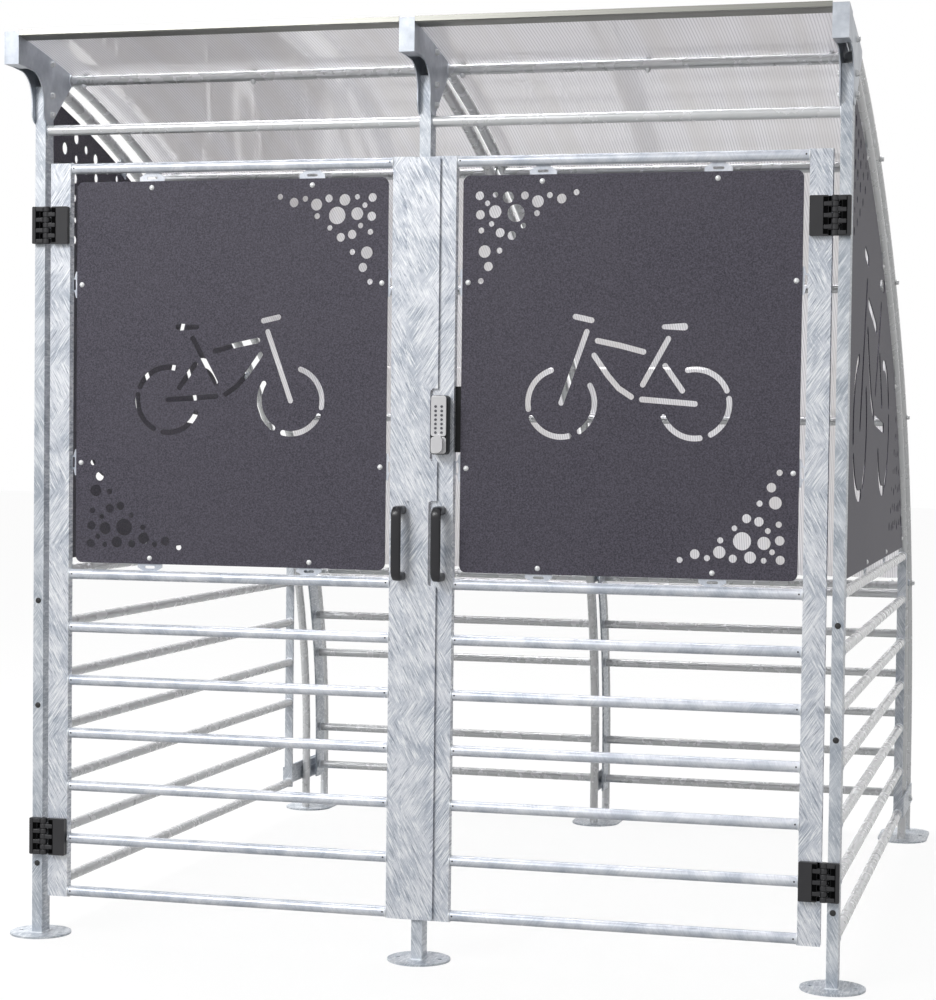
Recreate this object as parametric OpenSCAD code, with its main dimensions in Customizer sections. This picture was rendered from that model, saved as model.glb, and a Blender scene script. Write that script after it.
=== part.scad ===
// Bike shelter: two bays under one curved roof, open railings on three sides,
// and a pair of hinged doors across the front. Millimetres, +Z up, +Y to the back.
// The origin is on the ground, under the middle of the shelter.

/* [Plan] */
// Spacing of the posts across the front, centre to centre
bay_w = 1040; // [860:10:1250]
// Front face of the posts to the centre line of the back roof tubes at the ground
depth = 2400; // [2000:10:2900]
// Overhang of the roof in front of the posts
overhang = 172; // [140:1:210]

/* [Roof curve] */
// Height of the outer roof tube's centre line above the posts
roof_h = 2303; // [2200:1:2770]
// Radius of the flat front part of the roof
roof_r = 4050; // [3600:10:4900]
// Radius of the steep back part of the roof
back_r = 1655; // [1380:5:1990]
// Slope at which the two radii meet, in degrees
shoulder = 37; // [31:0.5:44]

/* [Posts and tubes] */
// Width of a front post
post_w = 28; // [23:0.5:34]
// Depth of a front post
post_d = 48; // [40:1:58]
// Diameter of every round tube
tube_d = 27; // [22:0.5:33]
// Distance between the twin tubes of a rib at the ground
rib_gap_base = 205; // [170:1:246]
// Distance between the twin tubes of a rib over the posts
rib_gap_front = 53; // [44:1:64]
// Angle between the twin tubes of a rib over the posts, in degrees
rib_splay = 2; // [1.6:0.1:2.4]
// Top of the posts below the roof tube's centre line
post_drop = 83; // [75:1:100]
// Header tube below the roof tube's centre line
header_drop = 195; // [180:1:235]

/* [Feet] */
// Diameter of a front base plate, and width of a rear one
plate_d = 160; // [133:1:192]
// Thickness of a base plate
plate_t = 5; // [4:0.5:8]
// Diameter of an anchor hole
anchor_d = 12; // [10:0.5:14.5]
// Spacing of the two anchor holes of a base plate
anchor_gap = 110; // [92:1:120]

/* [Head brackets] */
// Thickness of a bracket's side plate
bracket_t = 3; // [2.5:0.5:4]
// Thickness of the cap on a bracket's nose
cap_t = 2; // [1.5:0.5:2.5]
// Height of a bracket's nose
nose_h = 82; // [70:1:95]
// Length of the cap on a bracket's nose
cap_l = 76; // [64:1:84]
// Distance behind the post's front face that a bracket reaches
bracket_back = 168; // [150:1:200]
// Radius of the rounded end of a bracket's tongue
tongue_r = 30; // [25:0.5:34]
// Radius of the curve under a bracket's nose
throat_r = 68; // [57:1:80]

/* [Roof covering] */
// Thickness of the twin-wall roof sheet
sheet_t = 10; // [6:1:12]
// Underside of the roof sheet below the roof tube's centre line
sheet_drop = 8.5; // [6:0.5:10]
// Height of the sheet's lower edge at the back
sheet_low = 873; // [830:1:1040]
// Depth of the flange of the roof's front edge profile
edge_flange = 48; // [40:1:58]
// Wall of the roof's front edge profile
edge_t = 1.5; // [1:0.5:2]
// Distance of the front purlin behind the post's front face
purlin_front = 150; // [140:1:180]
// Thickness of a purlin's end lug
lug_t = 5; // [4:0.5:6]

/* [Railings] */
// Height of the lowest rail of the doors and sides
rail_low = 120; // [110:1:140]
// Pitch of the rails of the doors and sides
rail_pitch = 139; // [117:1:145]
// Height of the lowest rail at the back
rear_low = 146; // [135:1:160]
// Pitch of the rails at the back
rear_pitch = 135; // [113:1:145]
// Width of a flat end strip of the back railing
strip_w = 80; // [67:1:96]
// Thickness of a flat end strip and of a foot bracket
strip_t = 6; // [5:0.5:7]
// Thickness of the upright at the back end of a side railing
upright_t = 8; // [6.5:0.5:9.5]
// Height of the foot bracket of a side railing
foot_h = 64; // [54:1:76]

/* [Panels] */
// Thickness of a panel
panel_t = 3; // [2:0.5:4]
// Lower edge of every panel above the top rail's centre line
panel_lift = 31; // [25:1:36]
// Corner radius of a door panel
panel_r = 18; // [15:1:22]
// Gap between a side panel and the centre line of the inner roof tube
side_inset = 38; // [32:1:46]
// Wheel spacing of the bicycle cut through a door panel
bike_base = 333; // [278:1:400]
// Height of that bicycle's axles above the panel's lower edge
bike_lift = 425; // [354:1:510]
// Wheel spacing of the bicycle cut through a side panel
side_bike_base = 714; // [595:1:760]
// Distance of a side panel's bicycle behind the post's front face
side_bike_y = 815; // [740:1:900]
// Height of a side bicycle's axles above the panel's lower edge
side_bike_lift = 377; // [314:1:420]

/* [Doors] */
// Gap between a door and its outer post
jamb_gap = 16; // [13:0.5:20]
// Gap between a door and the centre post
meeting_gap = 13; // [11:0.5:16]
// Width of a door stile
stile_w = 55; // [46:1:60]
// Depth of a door stile
stile_d = 25; // [22:0.5:30]
// Bottom of a door above the ground
door_low = 106; // [88:1:106]
// Top of the doors below the header tube's centre line
door_drop = 88; // [75:1:105]
// Gap between a door panel and the stiles
panel_gap = 15; // [12:0.5:18]
// Width of the cover strip over the doors' meeting edges
cover_w = 84; // [76:1:88]
// Thickness of the cover strip
cover_t = 3; // [2:0.5:4]
// Distance of the cover strip in front of the doors
cover_gap = 5; // [5:0.5:6]

/* [Hinges, handles and lock] */
// Height of a hinge
hinge_h = 96; // [80:1:115]
// Reach of a hinge leaf from its pin, over the door
hinge_reach = 61; // [52:1:68]
// Reach of a hinge leaf from its pin, over the post
hinge_post_reach = 38; // [34:1:44]
// Thickness of a hinge
hinge_t = 15; // [13:0.5:18]
// Diameter of a hinge pin
pin_d = 8; // [6.5:0.5:9.5]
// Radial clearance of a hinge pin in the door's knuckles
pin_clear = 0.05; // [0.03:0.01:0.1]
// Gap between two knuckles of a hinge
knuckle_gap = 1; // [0.8:0.1:1.2]
// Centre of the upper hinge below the top of the door
hinge_top = 160; // [134:1:192]
// Centre of the lower hinge above the bottom of the door
hinge_bottom = 158; // [132:1:189]
// Length of a pull handle
handle_l = 189; // [158:1:226]
// Width of a pull handle
handle_w = 25; // [21:1:27]
// Distance of a pull handle's front face in front of the door
handle_out = 54; // [46:1:64]
// Height of the middle of the pull handles
handle_z = 1056; // [1040:1:1075]
// Height of the keypad lock's bottom edge
lock_low = 1279; // [1240:1:1300]
// Height of the keypad lock's body
lock_h = 147; // [123:1:160]
// Width of the keypad lock's body
lock_w = 42; // [36:1:44]
// Depth of the keypad lock's body
lock_d = 32; // [27:1:38]

/* [Hidden] */
$fn = 64;
// Number of sides that draws the long roof arcs smoothly
arc_fn = 720;

// Depths are counted from the front face of the posts, then the whole shelter is
// shifted forward so that the origin lies under its middle.
plate_y = depth - rib_gap_base / 2;
plate_back = plate_d / 2 + rib_gap_base / 3;
origin_y = (plate_y + plate_back - overhang) / 2;

// Outer roof tube: two tangent arcs and a straight foot.
deg = 180 / PI;
post_mid = post_d / 2;
back_cy = depth - back_r;
roof_cy = back_cy - (roof_r - back_r) * sin(shoulder);
roof_cz = roof_h - sqrt(pow(roof_r, 2) - pow(post_mid - roof_cy, 2));
knee_z = roof_cz + (roof_r - back_r) * cos(shoulder);
function slope_at(y, r) = asin((y - roof_cy) / r);
function roof_z(y, drop = 0) = roof_cz + sqrt(pow(roof_r - drop, 2) - pow(y - roof_cy, 2));

// Inner roof tube: the same front radius, spreading from the outer one.
inner_y = depth - rib_gap_base;
inner_slope = slope_at(post_mid, roof_r);
inner_front = [roof_cy + (roof_r - rib_gap_front) * sin(inner_slope),
               roof_cz + (roof_r - rib_gap_front) * cos(inner_slope)];
inner_fy = inner_front[0] - roof_r * sin(inner_slope + rib_splay);
inner_fz = inner_front[1] - roof_r * cos(inner_slope + rib_splay);
inner_dy = inner_y - inner_fy;
inner_dz = knee_z - inner_fz;
inner_r = (pow(roof_r, 2) - pow(inner_dy, 2) - pow(inner_dz, 2)) / (2 * (roof_r - inner_dy));
inner_cy = inner_y - inner_r;
inner_shoulder = atan2(inner_cy - inner_fy, knee_z - inner_fz);

// Tubes start here at the front: the outer one between the bracket's plates, over
// the post, and the inner one just behind it.
outer_start = -60;
inner_start = post_d + 2;
seam = 0.05;
bracket_gap = max(post_w, tube_d) + 1;
bracket_half = bracket_gap / 2 + bracket_t;
cap_half = bracket_half + cap_t;
bay_clear = cap_half + 0.5;

post_top = roof_h - post_drop;
header_z = roof_h - header_drop;
tongue_clear = 0.5;

// Purlins lie under the sheet, evenly spaced along the curve.
purlin_drop = sheet_drop + tube_d / 2 + seam;
purlin_n = 5;
purlin_low = sheet_low - 28;
purlin_s0 = slope_at(purlin_front, roof_r - purlin_drop);
purlin_s1 = acos((purlin_low - knee_z) / (back_r - purlin_drop));
purlin_turn = roof_r * (shoulder - purlin_s0) / deg;
purlin_run = purlin_turn + back_r * (purlin_s1 - shoulder) / deg;
function purlin_slope(i) =
    let (run = i * purlin_run / (purlin_n - 1))
    run < purlin_turn ? purlin_s0 + run / roof_r * deg : shoulder + (run - purlin_turn) / back_r * deg;
function on_roof(slope, drop) =
    slope < shoulder
    ? [roof_cy + (roof_r - drop) * sin(slope), roof_cz + (roof_r - drop) * cos(slope)]
    : [back_cy + (back_r - drop) * sin(slope), knee_z + (back_r - drop) * cos(slope)];

// Railings
rail_n = 7;
rail_top = rail_low + (rail_n - 1) * rail_pitch;
rear_n = 6;
rear_top = rear_low + (rear_n - 1) * rear_pitch;
strip_low = rear_low - 39;
strip_top = rear_top + 39;
strip_out = tube_d / 2 + strip_t;
mid_r = (back_r + inner_r) / 2;
mid_cy = (back_cy + inner_cy) / 2;
function curve_y(z, cy, r) = z < knee_z ? cy + r : cy + sqrt(pow(r, 2) - pow(z - knee_z, 2));
upright_top = rail_top + 10;
upright_low = rail_low - 15;
upright_clear = 2.5;
upright_y = curve_y(upright_top, inner_cy, inner_r) - tube_d / 2 - upright_clear - upright_t;
foot_low = rail_low - 12;
foot_back = depth - tube_d / 2 - 25;
web_t = 6;
web_low = foot_low;
panel_low = rail_top + panel_lift;
side_front = post_d + 6;

// Doors
door_top = header_z - door_drop;
door_out = bay_w - post_w / 2 - jamb_gap;
door_in = post_w / 2 + meeting_gap;
door_rail_y = stile_d / 2;
door_rail_top = door_top - tube_d / 2;
panel_out = door_out - stile_w - panel_gap;
panel_in = door_in + stile_w + panel_gap;
panel_top = door_rail_top - tube_d / 2 - 21.5;
tab_w = 68;
tab_t = 3;
tab_lap = 16;
tab_slot = [28, 7];

// Side panels: the slopes of the curved edge's two ends, the length of the lower edge,
// and the tabs along both.
side_r0 = roof_r - side_inset;
side_r1 = inner_r - side_inset;
side_s0 = asin((side_front - inner_fy) / side_r0);
side_s1 = acos((panel_low - knee_z) / side_r1);
side_l = inner_cy + side_r1 * sin(side_s1) - side_front;
side_tab_slopes = concat(
    [for (share = [0.14, 0.31, 0.54]) side_s0 + share * (side_s1 - side_s0)],
    [side_s1 - (tab_w / 2 + 4) / side_r1 * deg]);
side_tab_ys = [side_front + 0.347 * side_l, side_front + 0.67 * side_l];

// Hinges
pin_x = door_out + jamb_gap / 2;
pin_y = -hinge_t / 2;
knuckle_r = pin_d / 2 + 5;
hinge_clear = knuckle_r + 7;
knuckle_n = 7;
knuckle_h = (hinge_h - (knuckle_n - 1) * knuckle_gap) / knuckle_n;
hinge_zs = [door_low + hinge_bottom, door_top - hinge_top];

// Handles and lock
grip_t = 13;
handle_x = door_in + stile_w / 2 - 3;
lock_x = door_in + 4 + lock_w / 2;
lock_z = lock_low + lock_h / 2;
knob_w = 26;
knob_h = 43;
knob_z = lock_low + knob_h / 2 + 4;
spindle_d = 8;

// ---- helpers ----

// Puts a child drawn with its depth counted from the posts' front face into place.
module place() {
    translate([0, -origin_y, 0]) children();
}

// Extrudes a child drawn in (y, z) along x, from x0 by length.
module along_x(x0, length) {
    translate([x0, 0, 0]) rotate([90, 0, 90]) linear_extrude(length) children();
}

// A round bar along x.
module bar_x(x0, length, y, z, d = tube_d) {
    translate([x0, y, z]) rotate([0, 90, 0]) cylinder(h = length, d = d);
}

// Sweeps a child profile about (cy, cz) between two slopes, at x.
// The profile's first axis is the radius and its second one is x.
module roof_sweep(x, cy, cz, slope0, slope1) {
    translate([x, cy, cz]) rotate([90, 0, 90]) rotate([0, 0, 90 - slope1])
        rotate_extrude(angle = slope1 - slope0, $fn = arc_fn) children();
}

// A round tube along an arc.
module tube_arc(x, cy, cz, r, slope0, slope1) {
    roof_sweep(x, cy, cz, slope0, slope1) translate([r, 0]) circle(d = tube_d, $fn = 48);
}

// A sheet along an arc: from radius r, t thick, w wide in x.
module sheet_arc(x, cy, cz, r, t, w, slope0, slope1) {
    roof_sweep(x, cy, cz, slope0, slope1) translate([r, -w / 2]) square([t, w]);
}

// Two anchor holes, side by side in x.
module anchor_holes(x, y) {
    for (side = [-1, 1])
        translate([x + side * anchor_gap / 2, y, -1]) cylinder(h = plate_t + 2, d = anchor_d);
}

// A box with rounded edges along y.
module rounded_front(x, y, z, w, d, h, r) {
    translate([x, y + d, z]) rotate([90, 0, 0]) linear_extrude(d) rounded_rect(w, h, r);
}

// A rectangle with round corners, from (0, 0).
module rounded_rect(w, h, r) {
    translate([r, 0]) square([w - 2 * r, h]);
    translate([0, r]) square([w, h - 2 * r]);
    for (px = [r, w - r], py = [r, h - r]) translate([px, py]) circle(r);
}

// ---- frame ----

module front_post(x) {
    color("lightsteelblue") place() difference() {
        union() {
            translate([x - post_w / 2, 0, 0]) cube([post_w, post_d, post_top]);
            translate([x, post_mid, 0]) cylinder(h = plate_t, d = plate_d);
        }
        anchor_holes(x, post_mid);
    }
}

// Outline of a head bracket's side plate, in (y, z).
module bracket_side() {
    tongue = [12, header_z + tube_d / 2 + tongue_clear + tongue_r];
    tongue_front = tongue[0] - tongue_r;
    throat = [tongue_front - throat_r, tongue[1] + 28];
    tip = [bracket_back, roof_h - 47];
    reach = tip - tongue;
    tangent = atan2(reach[1], reach[0]) - acos(tongue_r / norm(reach));
    nose_low = roof_z(-overhang) - nose_h;
    top = roof_h + 100;
    intersection() {
        difference() {
            union() {
                polygon([
                    [-overhang + cap_t, nose_low + cap_t], [-overhang + cap_t, top],
                    [bracket_back, top], tip,
                    tongue + tongue_r * [cos(tangent), sin(tangent)], tongue,
                    [tongue_front, tongue[1]], [tongue_front, throat[1]],
                    throat, [throat[0], throat[1] + throat_r]
                ]);
                translate(tongue) circle(tongue_r);
            }
            translate(throat) circle(throat_r);
        }
        translate([roof_cy, roof_cz]) circle(roof_r, $fn = 4 * arc_fn);
    }
}

// Side view of the cap that closes a bracket's nose, in (y, z).
module cap_side(inset) {
    nose_low = roof_z(-overhang) - nose_h;
    intersection() {
        translate([-overhang + inset, nose_low + inset]) square([cap_l, 2 * nose_h]);
        translate([roof_cy, roof_cz]) circle(roof_r, $fn = 4 * arc_fn);
    }
}

module head_bracket(x) {
    color("lightslategray") place() {
        for (side = [0, 1])
            along_x(x + (side == 0 ? -bracket_half : bracket_gap / 2), bracket_t) bracket_side();
        difference() {
            along_x(x - cap_half, 2 * cap_half) cap_side(0);
            along_x(x - bracket_half, 2 * bracket_half)
                translate([-overhang + cap_t, roof_h - 200]) square([cap_l, 400]);
        }
        bracket_floor(x);
        // Curved cover plate between the sides, in front of the roof tube
        sheet_arc(x, roof_cy, roof_cz, roof_r - bracket_t, bracket_t, bracket_gap + 1,
                  slope_at(-overhang + cap_t, roof_r), slope_at(outer_start - 4, roof_r));
    }
}

// Bottom plate of a bracket's nose
module bracket_floor(x) {
    nose_low = roof_z(-overhang) - nose_h;
    translate([x - cap_half, -overhang, nose_low]) cube([2 * cap_half, cap_l, cap_t]);
}

// A roof tube's straight foot, then its steep arc and its flat one, welded end to
// end with hairline seams.
module rib_tube(x, y, cy, r, bend, front_cy, front_cz, start) {
    translate([x, y, plate_t]) cylinder(h = knee_z - plate_t - seam, d = tube_d, $fn = 48);
    tube_arc(x, cy, knee_z, r, bend, 90);
    tube_arc(x, front_cy, front_cz, roof_r, asin((start - front_cy) / roof_r), bend - seam / roof_r * deg);
}

module rib_outer(x) {
    color("silver") place()
        rib_tube(x, depth, back_cy, back_r, shoulder, roof_cy, roof_cz, outer_start);
}

module rib_inner(x) {
    color("silver") place()
        rib_tube(x, inner_y, inner_cy, inner_r, inner_shoulder, inner_fy, inner_fz, inner_start);
}

// Rear base plate with round ends, and the webs between the twin tubes.
module rib_foot(x) {
    web_mid = strip_top - 25;
    color("lightsteelblue") place() {
        difference() {
            union() {
                for (y = [plate_y - rib_gap_base / 3, plate_y + rib_gap_base / 3])
                    translate([x, y, 0]) cylinder(h = plate_t, d = plate_d);
                translate([x - plate_d / 2, plate_y - rib_gap_base / 3, 0])
                    cube([plate_d, 2 * rib_gap_base / 3, plate_t]);
            }
            anchor_holes(x, plate_y);
        }
        foot_web(x, web_low, foot_h);
        foot_web(x, web_mid, 50);
    }
}

// A flat web that fills the space between the twin tubes, with a boss that the
// railings' end strips bolt against.
module foot_web(x, low, h) {
    tilt = asin(max(0, low + h / 2 - knee_z) / mid_r);
    half = tube_d / 2 / cos(tilt) + 0.6;
    y0 = curve_y(low, inner_cy, inner_r) + half;
    y1 = curve_y(low, back_cy, back_r) - half;
    lean = curve_y(low, mid_cy, mid_r) - curve_y(low + h, mid_cy, mid_r);
    boss_y = curve_y(low + h / 2, mid_cy, mid_r);
    along_x(x - web_t / 2, web_t)
        polygon([[y0, low], [y1, low], [y1 - lean, low + h], [y0 - lean, low + h]]);
    bar_x(x - strip_out + strip_t, 2 * (strip_out - strip_t), boss_y, low + h / 2, 22);
}

module header_tubes() {
    color("silver") place()
        for (x = [post_w / 2 - bay_w, post_w / 2])
            bar_x(x, bay_w - post_w, post_mid - 4, header_z);
}

// One purlin between two ribs. The front one butts against the brackets, and the
// others end in lugs that bolt to the roof tubes.
module purlin(x0, i) {
    slope = purlin_slope(i);
    p = on_roof(slope, purlin_drop);
    q = on_roof(slope, 0);
    start = i == 0 ? bracket_half : tube_d / 2;
    bar_x(x0 + start, bay_w - 2 * start, p[0], p[1]);
    if (i > 0)
        for (x = [x0 + start, x0 + bay_w - start - lug_t]) {
            bar_x(x, lug_t, p[0], p[1], tube_d);
            bar_x(x, lug_t, q[0], q[1], tube_d * 0.8);
        }
}

module purlins() {
    color("silver") place()
        for (x0 = [-bay_w, 0], i = [0 : purlin_n - 1]) purlin(x0, i);
}

// ---- roof covering ----

module roof_sheet(side) {
    x = side * bay_w / 2;
    w = bay_w - 2 * bay_clear;
    low = acos((sheet_low - knee_z) / back_r);
    color([0.80, 0.79, 0.77, 0.6]) place() {
        sheet_arc(x, back_cy, knee_z, back_r - sheet_drop, sheet_t, w,
                  shoulder + seam / back_r * deg, low);
        sheet_arc(x, roof_cy, roof_cz, roof_r - sheet_drop, sheet_t, w,
                  slope_at(edge_t + seam - overhang, roof_r), shoulder);
    }
}

module roof_edges() {
    w = bay_w - 2 * bay_clear;
    front = slope_at(-overhang, roof_r);
    under = roof_r - sheet_drop - seam;
    over = roof_r - sheet_drop + sheet_t + seam;
    color("dimgray") place()
        for (x = [-bay_w / 2, bay_w / 2]) {
            sheet_arc(x, roof_cy, roof_cz, under - edge_t, over - under + 2 * edge_t, w,
                      front, slope_at(edge_t - overhang, roof_r));
            sheet_arc(x, roof_cy, roof_cz, under - edge_t, edge_t, w,
                      front, slope_at(edge_flange - overhang, roof_r));
            sheet_arc(x, roof_cy, roof_cz, over, edge_t, w,
                      front, slope_at(edge_flange / 2 - overhang, roof_r));
        }
}

// ---- railings ----

module side_rails(side) {
    color("silver") place()
        for (i = [0 : rail_n - 1])
            translate([side * bay_w, post_d, rail_low + i * rail_pitch]) rotate([-90, 0, 0])
                cylinder(h = upright_y - post_d, d = tube_d);
}

// Flat upright and the foot bracket that ties it to the rib, outside the rib.
module side_upright(side) {
    foot_x = side > 0 ? bay_w + tube_d / 2 : -bay_w - tube_d / 2 - strip_t;
    color("lightsteelblue") place() {
        translate([side * bay_w - tube_d / 2, upright_y, upright_low])
            cube([tube_d, upright_t, upright_top - upright_low]);
        translate([foot_x, upright_y, foot_low]) cube([strip_t, foot_back - upright_y, foot_h]);
    }
}

// Space under the inner roof tube, in (y, z), kept clear of it by the inset.
module under_roof(inset) {
    far = 2 * roof_r;
    translate([inner_cy, knee_z]) circle(inner_r - inset, $fn = arc_fn);
    intersection() {
        translate([inner_fy, inner_fz]) circle(roof_r - inset, $fn = 4 * arc_fn);
        translate([inner_cy, knee_z]) rotate(90 - inner_shoulder) square(far);
    }
}

module side_panel(side) {
    color([0.27, 0.27, 0.29]) place()
        along_x(side * bay_w - panel_t / 2, panel_t)
            difference() {
                intersection() {
                    under_roof(side_inset);
                    translate([side_front, panel_low]) square([depth, roof_h]);
                }
                translate([side_bike_y, panel_low + side_bike_lift])
                    bicycle(side_bike_base / bike_unit);
                side_bubbles();
            }
}

// Height of a side panel's curved edge at y, and the depth of that edge at z.
function edge_z(y) = inner_fz + sqrt(pow(roof_r - side_inset, 2) - pow(y - inner_fy, 2));
function edge_y(z) = curve_y(z, inner_cy, inner_r - side_inset);

// Bubbles in rows under the curved edge at the front, and over the bottom edge at
// the back. Both groups thin out towards the middle of the panel.
module side_bubbles() {
    rows = 7;
    size = rands(-3, 3, 2 * rows * rows, 11);
    shift = rands(-7, 7, 4 * rows * rows, 23);
    for (i = [0 : rows - 1], j = [0 : rows - 1 - i]) {
        n = i * rows + j;
        y = side_front + 96 + 68 * j + shift[2 * n];
        translate([y, edge_z(y) - 48 - 56 * i + shift[2 * n + 1]])
            circle(15.5 - 0.9 * (i + j) + size[n]);
    }
    for (i = [0 : rows - 1], j = [0 : rows - 1 - i]) {
        n = rows * rows + i * rows + j;
        z = panel_low + 84 + 54 * i + shift[2 * n];
        translate([edge_y(z) - 52 - 72 * j + shift[2 * n + 1], z])
            circle(15.5 - 0.9 * (i + j) + size[n]);
    }
}

// Tabs that the side panel is bolted to, on its inner face: along the inner roof
// tube, on the top rail and on the post.
module side_tabs(side) {
    free = 0.3;
    color("lightsteelblue") place()
        along_x(side * bay_w + (side > 0 ? -panel_t / 2 - tab_t : panel_t / 2), tab_t) {
            for (slope = side_tab_slopes) {
                front = slope < inner_shoulder;
                r = (front ? roof_r : inner_r) - side_inset;
                c = front ? [inner_fy, inner_fz] : [inner_cy, knee_z];
                translate(c + r * [sin(slope), cos(slope)]) rotate(-slope)
                    tab(side_inset - tube_d / 2 - 2 * free);
            }
            for (y = side_tab_ys)
                translate([y, panel_low]) rotate(180) tab(panel_lift - tube_d / 2 - free);
            for (z = [panel_low + 282, roof_h - 278])
                translate([side_front, z]) rotate(90) tab(side_front - post_d - free, false);
        }
}

// ---- back railing ----

module rear_rails(side) {
    x0 = side < 0 ? strip_out - bay_w : strip_out;
    color("silver") place()
        for (i = [0 : rear_n - 1]) {
            z = rear_low + i * rear_pitch;
            bar_x(x0, bay_w - 2 * strip_out, curve_y(z, mid_cy, mid_r), z);
        }
}

// A flat strip, standing upright, then curved with the ribs.
module end_strip(x) {
    straight = max(knee_z, strip_low + 1) - strip_low;
    top = acos((strip_top - knee_z) / mid_r);
    translate([x, mid_cy + mid_r - strip_w / 2, strip_low]) cube([strip_t, strip_w, straight]);
    sheet_arc(x + strip_t / 2, mid_cy, knee_z, mid_r - strip_w / 2, strip_w, strip_t, top, 90);
}

module rear_strips(side) {
    x0 = side < 0 ? -bay_w : 0;
    color("lightsteelblue") place() {
        end_strip(x0 + strip_out - strip_t);
        end_strip(x0 + bay_w - strip_out);
    }
}

// ---- doors ----

// One door is drawn as the right one; the left one is its mirror image.
module leaf(side) {
    place() if (side > 0) children(); else mirror([1, 0, 0]) children();
}

module door_frame(side) {
    inside = door_out - door_in - 2 * stile_w;
    color("lightsteelblue") leaf(side) {
        for (x = [door_in, door_out - stile_w])
            translate([x, 0, door_low]) cube([stile_w, stile_d, door_top - door_low]);
        bar_x(door_in + stile_w, inside, door_rail_y, door_rail_top);
        for (i = [0 : rail_n - 1])
            bar_x(door_in + stile_w, inside, door_rail_y, rail_low + i * rail_pitch);
        panel_tabs();
    }
}

// Flat tabs that the panel is bolted to, on its back face.
module panel_tabs() {
    w = panel_out - panel_in;
    h = panel_top - panel_low;
    translate([0, door_rail_y + panel_t / 2 + tab_t, 0]) rotate([90, 0, 0]) linear_extrude(tab_t) {
        for (x = [panel_in + w * 0.24, panel_in + w * 0.755]) {
            translate([x, panel_top]) tab(door_rail_top - panel_top);
            translate([x, panel_low]) rotate(180) tab(panel_lift);
        }
        for (z = [panel_low + h * 0.264, panel_top - h * 0.268]) {
            translate([panel_in, z]) rotate(90) tab(panel_gap);
            translate([panel_out, z]) rotate(-90) tab(panel_gap);
        }
    }
}

// Outline of a tab: a wide foot behind the panel's edge at y = 0, and a neck that
// reaches up by gap, with a slot across it unless the gap is too narrow for one.
module tab(gap, slotted = true) {
    difference() {
        polygon([
            [-tab_w / 2, -tab_lap], [tab_w / 2, -tab_lap], [tab_w / 2, gap * 0.3],
            [tab_w / 4, gap * 0.6], [tab_w / 4, gap], [-tab_w / 4, gap],
            [-tab_w / 4, gap * 0.6], [-tab_w / 2, gap * 0.3]
        ]);
        if (slotted) translate([0, tab_slot[1] / 2 + 5]) {
            square([tab_slot[0] - tab_slot[1], tab_slot[1]], center = true);
            for (end = [-1, 1])
                translate([end * (tab_slot[0] - tab_slot[1]) / 2, 0]) circle(d = tab_slot[1], $fn = 24);
        }
    }
}

module door_panel(side) {
    w = panel_out - panel_in;
    h = panel_top - panel_low;
    color([0.27, 0.27, 0.29]) leaf(side)
        translate([panel_in, door_rail_y + panel_t / 2, panel_low]) rotate([90, 0, 0])
            linear_extrude(panel_t) difference() {
                rounded_rect(w, h, panel_r);
                translate([w / 2, bike_lift]) bicycle(bike_base / bike_unit);
                translate([0, h]) mirror([0, 1]) bubbles();
                translate([w, 0]) mirror([1, 0]) bubbles();
            }
}

// ---- cut-outs ----

// Bubbles at a corner of a door panel: distance along both edges, and radius.
bubble_list = [
    [42, 50, 11], [82, 48, 7], [115, 55, 14.5], [157, 51, 10], [190, 66, 15], [220, 51, 7.5],
    [250, 60, 12], [287, 45, 7.5], [62, 69, 7], [82, 90, 16], [135, 94, 22], [188, 95, 7.5],
    [44, 97, 11.5], [73, 120, 7], [154, 125, 7], [47, 136, 7.5], [95, 142, 11.5], [125, 149, 11],
    [56, 188, 15.5], [94, 186, 7.5], [66, 225, 11.5], [47, 261, 7.5]
];

module bubbles() {
    for (b = bubble_list) translate([b[0], b[1]]) circle(b[2]);
}

// A cut with round ends that follows a path, w wide at its start and w_end at its end.
module cut(path, w, w_end = 0) {
    n = len(path) - 1;
    turns = 8;
    r = [for (i = [0 : n]) (w + (w_end > 0 ? w_end - w : 0) * i / n) / 2];
    d = [for (i = [0 : n]) unit(unit(path[min(i + 1, n)] - path[min(i, n - 1)])
                                + unit(path[max(i, 1)] - path[max(i - 1, 0)]))];
    side = [for (v = d) [-v[1], v[0]]];
    polygon(concat(
        [for (i = [0 : n]) path[i] + r[i] * side[i]],
        [for (k = [1 : turns - 1]) path[n] + r[n] * turned(side[n], -180 * k / turns)],
        [for (i = [n : -1 : 0]) path[i] - r[i] * side[i]],
        [for (k = [1 : turns - 1]) path[0] - r[0] * turned(side[0], -180 * k / turns)]
    ));
}
function unit(v) = v / norm(v);
function turned(v, a) = [v[0] * cos(a) - v[1] * sin(a), v[0] * sin(a) + v[1] * cos(a)];
function arc_path(c, r, a0, a1, n = 12) =
    [for (i = [0 : n]) let (a = a0 + (a1 - a0) * i / n) c + r * [cos(a), sin(a)]];

// A bicycle as stencilled cuts, drawn at the size of a door's and then scaled. Its
// origin is midway between the axles, and its front wheel is on the -x side.
bike_unit = 333;
module bicycle(k) {
    w = 14;
    wheel = 84;
    front = [-bike_unit / 2, 0];
    back = [bike_unit / 2, 0];
    scale(k) {
        cut([[-133, 212], [-92, 203]], w);
        cut([[-104, 175], front], w);
        cut([[-77, 153], [-20, 141], [38, 126]], w);
        cut([[-85, 117], [-50, 68], [-23, 37], [9, 16]], w);
        cut([[99, 158], [37, 46]], w);
        cut([[88, 187], [138, 187]], 12, 18);
        cut([[92, 92], [135, 32]], w);
        cut([[35, 10], back], w);
        for (span = [[108, 191], [207, 284], [-56, 31]]) cut(arc_path(front, wheel, span[0], span[1]), w);
        for (span = [[23, 103], [-62, 9], [203, 279]]) cut(arc_path(back, wheel, span[0], span[1]), w);
    }
}

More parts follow.
